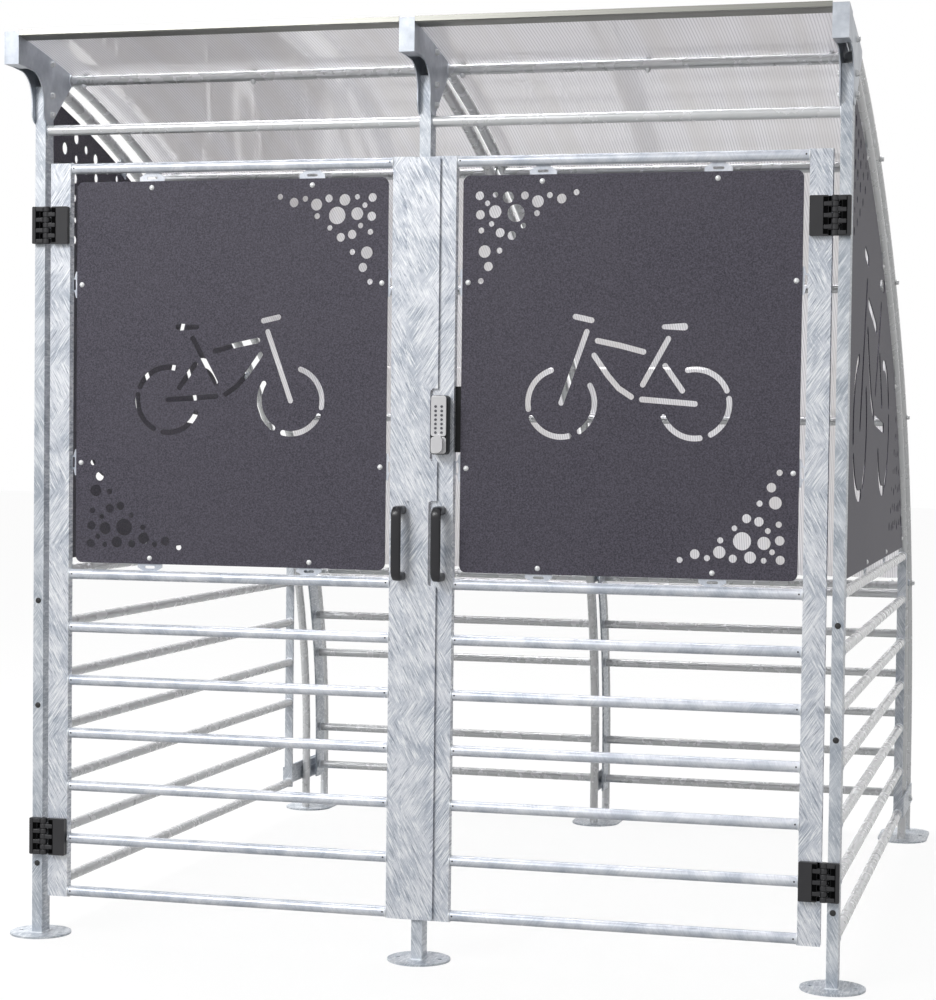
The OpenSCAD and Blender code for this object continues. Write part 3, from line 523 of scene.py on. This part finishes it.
# %% The hex bolt
bolt_tree, given, end = new_tree(
    "hex_bolt", {"Head": 0.016, "Height": 0.007, "Washer": 0.021, "Washer height": 0.002})
washer = add(bolt_tree, "GeometryNodeMeshCylinder", {"Vertices": 24},
             {"Radius": sum_of(bolt_tree, given["Washer"], 0.5, "MULTIPLY"),
              "Depth": given["Washer height"]})
head = add(bolt_tree, "GeometryNodeMeshCylinder", {"Vertices": 6},
           {"Radius": sum_of(bolt_tree, given["Head"], 0.5774, "MULTIPLY"),
            "Depth": given["Height"]})
top = add(bolt_tree, "GeometryNodeMeshCone", {"Vertices": 24},
          {"Radius Top": sum_of(bolt_tree, given["Head"], 0.34, "MULTIPLY"),
           "Radius Bottom": sum_of(bolt_tree, given["Head"], 0.47, "MULTIPLY"),
           "Depth": sum_of(bolt_tree, given["Height"], 0.18, "MULTIPLY")})
half_height = sum_of(bolt_tree, given["Height"], 0.5, "MULTIPLY")
half_washer = sum_of(bolt_tree, given["Washer height"], 0.5, "MULTIPLY")
parts = joined(
    bolt_tree,
    moved(bolt_tree, washer.outputs["Mesh"], half_washer),
    moved(bolt_tree, head.outputs["Mesh"],
          sum_of(bolt_tree, given["Washer height"], half_height)),
    moved(bolt_tree, top.outputs["Mesh"],
          sum_of(bolt_tree, given["Washer height"], given["Height"])))
finish_tree(bolt_tree, given, end, stand_on_sites(bolt_tree, given, parts))
print("tree:", bolt_tree.name)

# %% The dome
dome_tree, given, end = new_tree("dome", {"Width": 0.014, "Height": 0.005, "Collar": 0.001})
unit = add(dome_tree, "GeometryNodeMeshUVSphere", {"Segments": 20, "Rings": 10, "Radius": 1.0})
half = sum_of(dome_tree, given["Width"], 0.46, "MULTIPLY")
shape = add(dome_tree, "ShaderNodeCombineXYZ", {},
            {"X": half, "Y": half, "Z": given["Height"]})
cap = add(dome_tree, "GeometryNodeTransform", {},
          {"Geometry": unit.outputs["Mesh"], "Scale": shape.outputs["Vector"]})
cap = add(dome_tree, "GeometryNodeSetShadeSmooth", {}, {"Geometry": cap.outputs["Geometry"]})
collar = add(dome_tree, "GeometryNodeMeshCylinder", {"Vertices": 24},
             {"Radius": sum_of(dome_tree, given["Width"], 0.5, "MULTIPLY"),
              "Depth": given["Collar"]})
parts = joined(dome_tree, cap.outputs["Geometry"],
               moved(dome_tree, collar.outputs["Mesh"],
                     sum_of(dome_tree, given["Collar"], 0.5, "MULTIPLY")))
finish_tree(dome_tree, given, end, stand_on_sites(dome_tree, given, parts))
print("tree:", dome_tree.name)

# %% The weld bead
bead_tree, given, end = new_tree("weld_bead", {"Bead": 0.0024, "Ripple": 0.0012, "Seed": 3.0})
path = add(bead_tree, "GeometryNodeMeshToCurve", {}, {"Mesh": given["Geometry"]})
path = add(bead_tree, "GeometryNodeResampleCurve", {"mode": "LENGTH", "Length": 0.0045},
           {"Curve": path.outputs["Curve"]})
round_bar = add(bead_tree, "GeometryNodeCurvePrimitiveCircle", {"Resolution": 7},
                {"Radius": given["Bead"]})
bead = add(bead_tree, "GeometryNodeCurveToMesh", {},
           {"Curve": path.outputs["Curve"], "Profile Curve": round_bar.outputs["Curve"]})
noise = add(bead_tree, "ShaderNodeTexNoise",
            {"noise_dimensions": "4D", "Scale": 160.0, "Detail": 1.0}, {"W": given["Seed"]})
push = sum_of(bead_tree, sum_of(bead_tree, noise.outputs["Fac"], 0.5, "SUBTRACT"),
              given["Ripple"], "MULTIPLY")
normal = add(bead_tree, "GeometryNodeInputNormal")
offset = add(bead_tree, "ShaderNodeVectorMath", {"operation": "SCALE"},
             {"Vector": normal.outputs["Normal"], "Scale": push})
rough = add(bead_tree, "GeometryNodeSetPosition", {},
            {"Geometry": bead.outputs["Mesh"], "Offset": offset.outputs["Vector"]})
rough = add(bead_tree, "GeometryNodeSetShadeSmooth", {}, {"Geometry": rough.outputs["Geometry"]})
finish_tree(bead_tree, given, end, rough.outputs["Geometry"])
print("tree:", bead_tree.name)

# %% [markdown]
# ## Structural bolts
# Each head bracket is held by three bolts through the post and the rib, and every
# purlin but the first is bolted through the ribs. The foot brackets of the side rails
# have two bolts each. All of them are M8 hex bolts with a plain washer.

# %% Bolts on the frame
BRACKET, BRACKET_BOLT_Y, BRACKET_BOLT_ZS = 17.5, 29, (2281, 2200, 2150)
FOOT_BOLTS, FOOT_FACE = ((2231, 147), (2269, 132)), 19.5
M8_BOLT = {"Head": 0.013, "Height": 0.0065, "Washer": 0.018, "Washer height": 0.0015,
           "Material": bolt_zinc}
bracket_sites = [(at(x + side * BRACKET, BRACKET_BOLT_Y, z), side * X)
                 for x in (-BAY, 0, BAY) for side in (-1, 1) for z in BRACKET_BOLT_ZS]
grow("bracket_bolts", sites_object(bracket_sites), bolt_tree, M8_BOLT, "shelter", "bracket")

rib_sites = []
for slope in PURLINS[1:]:
    y, z = on_roof(slope)
    rib_sites += [(at(side * (BAY + TUBE / 2 - 0.5), y, z), side * X) for side in (-1, 1)]
for side in (-1, 1):
    rib_sites += [(at(side * (BAY + FOOT_FACE), y, z), side * X) for y, z in FOOT_BOLTS]
grow("rib_bolts", sites_object(rib_sites), bolt_tree, M8_BOLT, "shelter", "tube")

# %% [markdown]
# ## Roof screws
# The sheet is clamped to the purlins by long screws. Outside, a domed head presses a
# sealing washer on the sheet. Inside, the end shows as a small bright cap nut under the
# purlin, at one end and in the middle of each bay, and the third screw goes into the lug.

# %% Roof screws, outside and inside
outside, inside = [], []
for slope in PURLINS:
    up = Vector((0, math.sin(math.radians(slope)), math.cos(math.radians(slope))))
    for bay in (-BAY, 0):
        middle = bay + 532
        for x in (bay + 55, middle, bay + BAY - 55):
            outside.append((at(x, *on_roof(slope, -1.5)), up))
            if x <= middle:
                inside.append((at(x, *on_roof(slope, PURLIN_DROP + TUBE / 2 - 0.5)), -up))
grow("roof_screw_heads", sites_object(outside), dome_tree,
     {"Width": 0.019, "Height": 0.005, "Collar": 0.0015, "Material": bolt_zinc},
     "shelter", "roof_edge")
grow("roof_screw_nuts", sites_object(inside), dome_tree,
     {"Width": 0.015, "Height": 0.010, "Collar": 0.002, "Material": bolt_zinc},
     "shelter", "tube")

# %% [markdown]
# ## Panel screws
# A door panel is held by screws near its edge, two along the top, two along the bottom
# and two on each side. A side panel has four along its curve, two along the bottom and
# two beside the post. From a few metres they are just bright dots, but the dome and the
# collar catch the light as the real ones do.

# %% Screws of the door panels and the side panels
PANEL_FRONT = 11
door_screws = {"door_left": [], "door_right": []}
for side, body in DOORS:
    for x, z in ((298, 1955), (733, 1955), (298, 1000), (733, 1000),
                 (112, 1707), (112, 1245), (926, 1707), (926, 1245)):
        door_screws[body].append((at(side * x, PANEL_FRONT, z), -Y))
for body, found in door_screws.items():
    grow("panel_screws_" + body, sites_object(found), dome_tree,
         {"Width": 0.013, "Height": 0.0045, "Collar": 0.001, "Material": bolt_zinc},
         body, "door_steel")

SIDE_FRONT, PANEL_LOW, SIDE_INSET, HALF_TAB = POST_D + 6, RAILS[-1] + 31, 38, 34
edge_r = INNER_BACK[2] - SIDE_INSET
first = math.degrees(math.asin((SIDE_FRONT - INNER_FRONT[0]) / (INNER_FRONT[2] - SIDE_INSET)))
last = math.degrees(math.acos((PANEL_LOW - KNEE_Z) / edge_r))
edge_length = INNER_BACK[0] + step(last, edge_r)[0] - SIDE_FRONT
tab_slopes = [first + share * (last - first) for share in (0.14, 0.31, 0.54)]
tab_slopes.append(last - math.degrees((HALF_TAB + 4) / edge_r))
side_screws = [(SIDE_FRONT + 8, PANEL_LOW + 282), (SIDE_FRONT + 8, ROOF_H - 278)]
for slope in tab_slopes:
    y, z, r = INNER_FRONT if slope < INNER_SHOULDER else INNER_BACK
    step_y, step_z = step(slope, r - SIDE_INSET - 8)
    side_screws.append((y + step_y, z + step_z))
for share in (0.347, 0.67):
    side_screws.append((SIDE_FRONT + share * edge_length, PANEL_LOW + 15))
print("side tabs at slopes", [round(s, 2) for s in tab_slopes])
both = [(at(side * (BAY + 1.5), y, z), side * X) for side in (-1, 1) for y, z in side_screws]
grow("side_panel_screws", sites_object(both), dome_tree,
     {"Width": 0.014, "Height": 0.005, "Collar": 0.001, "Material": bolt_zinc},
     "shelter", "flat_steel")

# %% [markdown]
# ## Plugs and drain holes
# Spare holes in the posts are closed by black plugs. Small holes beside the welds let
# air out and zinc in when the frame is dipped; each is drawn as a flat black dot, painted
# shade for the dark inside of the hole.

# %% Plugs, and painted shade of the drain holes
plugs = [(at(side * BAY, 0, z), -Y) for side in (-1, 1) for z in (882, 607, 190)]
grow("post_plugs", sites_object(plugs), dome_tree,
     {"Width": 0.015, "Height": 0.0025, "Collar": 0.001, "Material": plug_rubber_and_hole_shade},
     "shelter", "hinge")
# the drain holes are flat black domes: painted shade for the dark inside of each hole
for side, body in DOORS:
    dots = []
    for z in RAILS + [DOOR_TOP_RAIL]:
        for x in (DOOR_IN + STILE + 9, DOOR_OUT - STILE - 9):
            dots.append((at(side * x, -0.8, z + 1), -Y))
    grow("drain_hole_painted_shade_" + body, sites_object(dots), dome_tree,
         {"Width": 0.0045, "Height": 0.0004, "Collar": 0.0002, "Material": plug_rubber_and_hole_shade},
         body, "hinge")

# %% [markdown]
# ## Weld beads
# Every rail is welded all round to the stile, post or strip it meets. A bead is a
# closed path round the tube, so the paths are drawn as rings of short edges, and the
# bead tree does the rest. Posts are welded to their plates along a rectangle.

# %% Paths for the welds
def ring(centre, axis, radius_mm, points=24):
    """A ring of points about an axis, in metres."""
    turn = axis.to_track_quat("Z", "Y")
    return [centre + turn @ Vector((math.cos(a), math.sin(a), 0)) * radius_mm / 1000
            for a in (2 * math.pi * i / points for i in range(points))]


def rectangle(x, y, z, wide, deep):
    """The corners of a level rectangle about a place, in metres."""
    return [at(x + i * wide / 2, y + j * deep / 2, z)
            for i, j in ((-1, -1), (1, -1), (1, 1), (-1, 1))]


def paths_object(loops):
    """Closed loops of points as one object made of edges."""
    points, edges = [], []
    for loop in loops:
        start, n = len(points), len(loop)
        points += loop
        edges += [(start + i, start + (i + 1) % n) for i in range(n)]
    mesh = bpy.data.meshes.new("paths")
    mesh.from_pydata(points, edges, [])
    source = bpy.data.objects.new("paths", mesh)
    bpy.context.scene.collection.objects.link(source)
    return source


print("weld path helpers ready")

# %% Weld beads on each body
PROUD = 0.6
HEADER_Y, HEADER_Z, UPRIGHT_FRONT, STRIP_OUT = 20, ROOF_H - 195, 2004.2, 19.7
around = TUBE / 2 + PROUD
loops = {"shelter": [], "door_left": [], "door_right": []}
for side, body in DOORS:
    for z in RAILS + [DOOR_TOP_RAIL]:
        for x in (DOOR_IN + STILE + PROUD, DOOR_OUT - STILE - PROUD):
            loops[body].append(ring(at(side * x, 12.5, z), X, around))
    for z in RAILS:
        for y in (POST_D + PROUD, UPRIGHT_FRONT):
            loops["shelter"].append(ring(at(side * BAY, y, z), Y, around))
    for z in REAR_RAILS:
        for x in (STRIP_OUT + PROUD, BAY - STRIP_OUT - PROUD):
            loops["shelter"].append(ring(at(side * x, between_tubes(z), z), X, around))
    for x in (POST_W / 2 + PROUD, BAY - POST_W / 2 - PROUD):
        loops["shelter"].append(ring(at(side * x, HEADER_Y, HEADER_Z), X, around))
    for x in (BRACKET + PROUD, BAY - BRACKET - PROUD):
        y, z = on_roof(PURLINS[0], PURLIN_DROP)
        loops["shelter"].append(ring(at(side * x, y, z), X, around))
for x in (-BAY, 0, BAY):
    loops["shelter"].append(rectangle(x, POST_D / 2, PLATE_T + 0.5, POST_W + 2, POST_D + 2))
    for y in (DEPTH - GAP_BASE, DEPTH):
        loops["shelter"].append(ring(at(x, y, PLATE_T + 0.5), Z, around))
for body, found in loops.items():
    grow("welds_" + body, paths_object(found), bead_tree,
         {"Bead": 0.0024, "Ripple": 0.0016, "Seed": 3.0, "Material": weld_zinc},
         body, "tube" if body == "shelter" else "door_steel")

# %% [markdown]
# ## Keypad of the lock
# The mechanical lock has two columns of seven push buttons over a turn knob. The
# buttons are domes in round seats, again the dome tree on a list of sites; their dark grey
# is painted shade, for the shadow that each raised button casts on the silver cover.

# %% Buttons
lock_low, lock_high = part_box("lock_body")
lock_x = (lock_low[0] + lock_high[0]) / 2
lock_face = lock_low[1]
COVER_OUT, KEY_OFFSET, KEY_PITCH, TOP_KEY = 0.0018, 0.0078, 0.01075, lock_high[2] - 0.028
buttons = [(Vector((lock_x + column * KEY_OFFSET, lock_face - COVER_OUT,
                    TOP_KEY - row * KEY_PITCH)), -Y)
           for row in range(7) for column in (-1, 1)]
grow("lock_buttons", sites_object(buttons), dome_tree,
     {"Width": 0.0068, "Height": 0.0022, "Collar": 0.0008, "Material": button_grey_with_painted_shade},
     "door_right", "lock")

# %% [markdown]
# ## Pull handles
# The handles are moulded bows with a soft, fat section. Here a rounded section is
# carried along the bow, thick at the arms and slimmer at the grip, and the result
# stands for the CAD block.

# %% Carry a rounded section along each bow
BOW_OUT, BOW_HALF, BOW_BEND, BOW_X, BOW_Z = 47.5, 83, 17, 51.5, 1056


def bow_path(out, half, bend, steps=8):
    """Places (y, z) along a bow from the door's face and back, with round corners."""
    path = [(0.5, -half)]
    for corner, start in ((-1, -90), (1, 180)):
        for i in range(steps + 1):
            a = math.radians(start - 90 * i / steps)
            path.append((-out + bend + bend * math.cos(a),
                         corner * (half - bend) + bend * math.sin(a)))
    path.append((0.5, half))
    return path


def bow(x, z, sides=20):
    """Vertices and faces of a bow handle whose middle is at x, z."""
    path, points, faces = bow_path(BOW_OUT, BOW_HALF, BOW_BEND), [], []
    for i, (py, pz) in enumerate(path):
        before, after = path[max(i - 1, 0)], path[min(i + 1, len(path) - 1)]
        along = Vector((after[0] - before[0], after[1] - before[1])).normalized()
        across = Vector((-along[1], along[0]))
        thick = 6.6 + 4.4 * min(1.0, max(0.0, (py + BOW_OUT) / 12))
        for k in range(sides):
            a = 2 * math.pi * k / sides
            wide, deep = [math.copysign(abs(v) ** 0.6, v) for v in (math.cos(a), math.sin(a))]
            points.append(at(x + 12.5 * wide, py + across[0] * thick * deep,
                             z + pz + across[1] * thick * deep))
    rings = len(path)
    for i in range(rings - 1):
        for k in range(sides):
            n = (k + 1) % sides
            faces.append((i * sides + k, i * sides + n, (i + 1) * sides + n, (i + 1) * sides + k))
    faces += [tuple(range(sides)), tuple(range((rings - 1) * sides, rings * sides))]
    return points, faces


print("a bow has", len(bow_path(BOW_OUT, BOW_HALF, BOW_BEND)), "sections")


# %% Turn points and faces into a piece
def piece_from(name, points, faces, material, smooth=True):
    """A piece from plain mesh data, with its faces turned outwards."""
    mesh = bpy.data.meshes.new(name)
    mesh.from_pydata(points, [], faces)
    work = bmesh.new()
    work.from_mesh(mesh)
    bmesh.ops.recalc_face_normals(work, faces=work.faces)
    work.to_mesh(mesh)
    work.free()
    for face in mesh.polygons:
        face.use_smooth = smooth
    made = bpy.data.objects.new(name, mesh)
    bpy.context.scene.collection.objects.link(made)
    mesh.materials.append(material)
    return made


for side, body, node in ((-1, "door_left", "handle_left"), (1, "door_right", "handle_right")):
    made = piece_from("bow_" + node, *bow(side * BOW_X, BOW_Z), grip_plastic)
    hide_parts(node)
    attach(made, body)
    print(made.name, len(made.data.polygons), "faces")

# %% [markdown]
# ## Fingers of the hinges
# A plastic hinge of this kind is a block on each side with fingers that reach over to
# the barrel, and a deep pocket opposite each finger so that the other half can turn.
# The CAD has plain leaves and knuckles. The fingers and rings are added as rounded
# blocks, and each leaf gets near-black strips of painted shade: the shadow deep in the
# pockets behind its fingers and in the gap beside the barrel.

# %% Blocks, rings and bevels
HINGE_H, HINGE_FRONT, KNUCKLES, PIN_X, PIN_Y = 96, -15, 7, DOOR_OUT + 8, -7.5
FINGER_GAP = 1.6
# near-black painted shade, standing for the shadow in the hinge pockets
pocket_painted_shade = moulded("shadowed_pocket_of_nylon", "060607", "030303", 0.9, gloss=0.05)


def block(x0, x1, y0, y1, z0, z1):
    """Vertices and faces of a box between two corners, in millimetres."""
    points = [at(x, y, z) for x in sorted((x0, x1)) for y in (y0, y1) for z in (z0, z1)]
    return points, [(0, 1, 3, 2), (4, 6, 7, 5), (0, 4, 5, 1), (2, 3, 7, 6), (0, 2, 6, 4),
                    (1, 5, 7, 3)]


def ring_block(x, r, z0, z1, sides=24):
    """Vertices and faces of an upright barrel ring round the pin, in millimetres."""
    turns = [2 * math.pi * k / sides for k in range(sides)]
    points = [at(x + r * math.cos(a), PIN_Y + r * math.sin(a), z)
              for z in (z0, z1) for a in turns]
    faces = [(k, (k + 1) % sides, sides + (k + 1) % sides, sides + k) for k in range(sides)]
    return points, faces + [tuple(range(sides)), tuple(range(sides, 2 * sides))]


def gather(parts):
    """Several (points, faces) as one."""
    points, faces = [], []
    for some, theirs in parts:
        faces += [tuple(i + len(points) for i in face) for face in theirs]
        points += some
    return points, faces


def bevelled(made, width, segments):
    """Rounds the sharp edges of a piece and keeps the result as a plain mesh."""
    edge = made.modifiers.new("edge", "BEVEL")
    edge.width, edge.segments, edge.limit_method = width, segments, "ANGLE"
    graph = bpy.context.evaluated_depsgraph_get()
    shaped = bpy.data.meshes.new_from_object(made.evaluated_get(graph), depsgraph=graph)
    made.modifiers.clear()
    made.data = shaped
    return made


print("a hinge has", KNUCKLES, "knuckles of %.1f mm" % (HINGE_H / KNUCKLES))

# %% Fingers, and strips of painted pocket shade, on each body
fingers = {"shelter": [], "door_left": [], "door_right": []}
pocket_shade_strips = {"shelter": [], "door_left": [], "door_right": []}
for side, body in DOORS:
    low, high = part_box("door_hinge_leaves_" + body[5:])
    pin = side * PIN_X
    for z in (low[2] * 1000 + HINGE_H / 2, high[2] * 1000 - HINGE_H / 2):
        pitch = HINGE_H / KNUCKLES
        for i in range(KNUCKLES):
            owner, way = ("shelter", side) if i % 2 == 0 else (body, -side)
            z0 = z - HINGE_H / 2 + i * pitch + FINGER_GAP
            z1 = z0 + pitch - 2 * FINGER_GAP
            fingers[owner].append(block(pin + way * 7, pin + way * 27, -17, -13, z0, z1))
            fingers[owner].append(ring_block(pin, 10.3, z0 - 0.8, z1 + 0.8))
        # painted shade: a dark strip in the pockets on the leaf's front, and one in the gap beside
        # the barrel
        for owner, way in (("shelter", side), (body, -side)):
            pocket_shade_strips[owner].append(block(pin + way * 16.5, pin + way * 28.5, HINGE_FRONT - 0.3,
                                        HINGE_FRONT + 1, z - 44.5, z + 44.5))
            pocket_shade_strips[owner].append(block(pin + way * 10.8, pin + way * 16.8, -5, -0.8,
                                        z - 47, z + 47))
for body in fingers:
    made = bevelled(piece_from("hinge_fingers_" + body, *gather(fingers[body]),
                               hinge_plastic, smooth=False), 0.0016, 2)
    dark = piece_from("hinge_pocket_painted_shade_" + body, *gather(pocket_shade_strips[body]), pocket_painted_shade,
                      smooth=False)
    for piece in (made, dark):
        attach(piece, body)
    print(made.name, len(made.data.polygons), "faces")

# %% [markdown]
# ## Face of the lock
# The lock is a black housing with two silver covers on its front: a long one round the
# buttons and a short one behind the knob. Each cover is a thin plate with round
# corners and a small bevel that catches a line of light.

# %% Two covers
def cover(name, x0, x1, z0, z1, r, face, thick, material):
    """A thin upright plate with round corners and bevelled edges, in metres."""
    outline = []
    for cx, cz, start in ((x1 - r, z1 - r, 0), (x0 + r, z1 - r, 90),
                          (x0 + r, z0 + r, 180), (x1 - r, z0 + r, 270)):
        for i in range(7):
            a = math.radians(start + 15 * i)
            outline.append((cx + r * math.cos(a), cz + r * math.sin(a)))
    n = len(outline)
    points = [(x, face, z) for x, z in outline] + [(x, face + thick, z) for x, z in outline]
    faces = [tuple(range(n)), tuple(range(n, 2 * n))]
    faces += [(i, (i + 1) % n, n + (i + 1) % n, n + i) for i in range(n)]
    made = bevelled(piece_from(name, points, faces, material, smooth=False), thick * 0.45, 3)
    for item in made.data.polygons:
        item.use_smooth = len(item.vertices) == 4
    return made


SPLIT = lock_high[2] - 0.103
for name, low, high in (("lock_cover_keys", SPLIT + 0.0006, lock_high[2] - 0.001),
                        ("lock_cover_knob", lock_low[2] + 0.002, SPLIT - 0.0006)):
    made = cover(name, lock_low[0] + 0.0008, lock_high[0] - 0.0016, low, high, 0.007,
                 lock_face - COVER_OUT, 0.003, lock_paint)
    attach(made, "door_right")
    print(name, len(made.data.polygons), "faces")

# %% [markdown]
# ## Floor and world
# A plain pale floor and an even, soft light show the finishes as they are. The world
# is white where the camera, gloss or glass sees it, and dimmer as a source of light,
# so the background is white without flooding the object. The floor does the same: it
# adds white where it is seen and keeps the object's soft shadow. As a source of light
# the world is brightest above, to the left and in front, so round tubes get a dark side.

# %% Floor and world
def seen_directly(tree):
    """1 for rays from the camera, from gloss and through glass, otherwise 0."""
    rays = add(tree, "ShaderNodeLightPath").outputs
    both = add(tree, "ShaderNodeMath", {"operation": "MAXIMUM"},
               {0: rays["Is Camera Ray"], 1: rays["Is Glossy Ray"]})
    return add(tree, "ShaderNodeMath", {"operation": "MAXIMUM"},
               {0: both.outputs[0], 1: rays["Is Transmission Ray"]}).outputs[0]


world = bpy.data.worlds.new("studio")
bpy.context.scene.world = world
world.use_nodes = True
tree = world.node_tree
tree.nodes.clear()
way = add(tree, "ShaderNodeTexCoord").outputs["Generated"]
toward = add(tree, "ShaderNodeVectorMath",
             {"operation": "DOT_PRODUCT", 1: Vector((-0.60, -0.50, 0.62)).normalized()},
             {0: way}).outputs["Value"]
soft = add(tree, "ShaderNodeMapRange", {"From Min": -0.7, "To Min": 0.06, "To Max": 0.95},
           {"Value": toward})
strength = add(tree, "ShaderNodeMapRange", {"To Max": 1.0},
               {"Value": seen_directly(tree), "To Min": soft.outputs["Result"]})
sky = add(tree, "ShaderNodeBackground", {"Color": (1, 1, 1, 1)},
          {"Strength": strength.outputs["Result"]})
add(tree, "ShaderNodeOutputWorld", {}, {"Surface": sky.outputs["Background"]})

floor_finish = bpy.data.materials.new("pale_studio_floor")
floor_finish.use_nodes = True
tree = floor_finish.node_tree
tree.nodes.clear()
seen = seen_directly(tree)
tone = blend_colours(tree, seen, srgb("52514B"), srgb("F2F2F2"))
plain = add(tree, "ShaderNodeBsdfDiffuse", {}, {"Color": tone})
lit = add(tree, "ShaderNodeEmission", {"Color": (1, 1, 1, 1), "Strength": 1.0})
share = add(tree, "ShaderNodeMath", {"operation": "MULTIPLY", 1: 0.93}, {0: seen})
mixed = add(tree, "ShaderNodeMixShader", {},
            {0: share.outputs[0], 1: plain.outputs["BSDF"], 2: lit.outputs["Emission"]})
add(tree, "ShaderNodeOutputMaterial", {}, {"Surface": mixed.outputs["Shader"]})

mesh = bpy.data.meshes.new("floor")
mesh.from_pydata([(-40, -40, 0), (40, -40, 0), (40, 40, 0), (-40, 40, 0)], [], [(0, 1, 2, 3)])
floor = bpy.data.objects.new("floor", mesh)
floor.data.materials.append(floor_finish)
bpy.context.scene.collection.objects.link(floor)
print("floor and world ready")

# %% [markdown]
# ## Lamps
# Two large soft boxes do the rest, one in front and to the left, and one above. They
# are kept low, because pale zinc soon turns to blank white.

# %% Lamps
def lamp(name, place, target, size, watts):
    """A square soft box that points at a target."""
    data = bpy.data.lights.new(name, "AREA")
    data.size, data.energy = size, watts
    made = bpy.data.objects.new(name, data)
    made.location = place
    made.rotation_euler = (Vector(target) - Vector(place)).to_track_quat("-Z", "Y").to_euler()
    bpy.context.scene.collection.objects.link(made)
    return made


lamp("key_soft_box", (-2.8, -6.2, 5.0), (0, 0, 1.2), 2.2, 262)
lamp("top_soft_box", (-1.3, 0.6, 6.5), (-0.3, 0, 1.0), 3.0, 490)
print("2 lamps")

# %% [markdown]
# ## Camera
# The camera stands about five and a half metres in front of the doors, to the right
# of the middle, at chest height. It looks slightly to the left and a little down, and a
# small vertical shift brings the roof into view.

# %% Camera
camera_data = bpy.data.cameras.new("camera")
camera = bpy.data.objects.new("camera", camera_data)
bpy.context.scene.collection.objects.link(camera)
bpy.context.scene.camera = camera
stand = at(1605.2, -5615.8, 1326.7)
yaw, pitch, roll = 0.2586, -0.0377, 0.0117
forward = Vector((-math.sin(yaw) * math.cos(pitch), math.cos(yaw) * math.cos(pitch),
                  math.sin(pitch)))
right = Vector((math.cos(yaw), math.sin(yaw), 0))
up = right.cross(forward)
right, up = (math.cos(roll) * right + math.sin(roll) * up,
             math.cos(roll) * up - math.sin(roll) * right)
turn = Matrix((right, up, -forward)).transposed()
camera.matrix_world = Matrix.Translation(stand) @ turn.to_4x4()
camera_data.lens = 84.05
camera_data.sensor_width = 36
camera_data.shift_x = 0.0008
camera_data.shift_y = 0.0237
camera_data.clip_end = 200
bpy.context.scene.view_settings.view_transform = "Standard"
print("camera at", [round(v, 3) for v in camera.location])
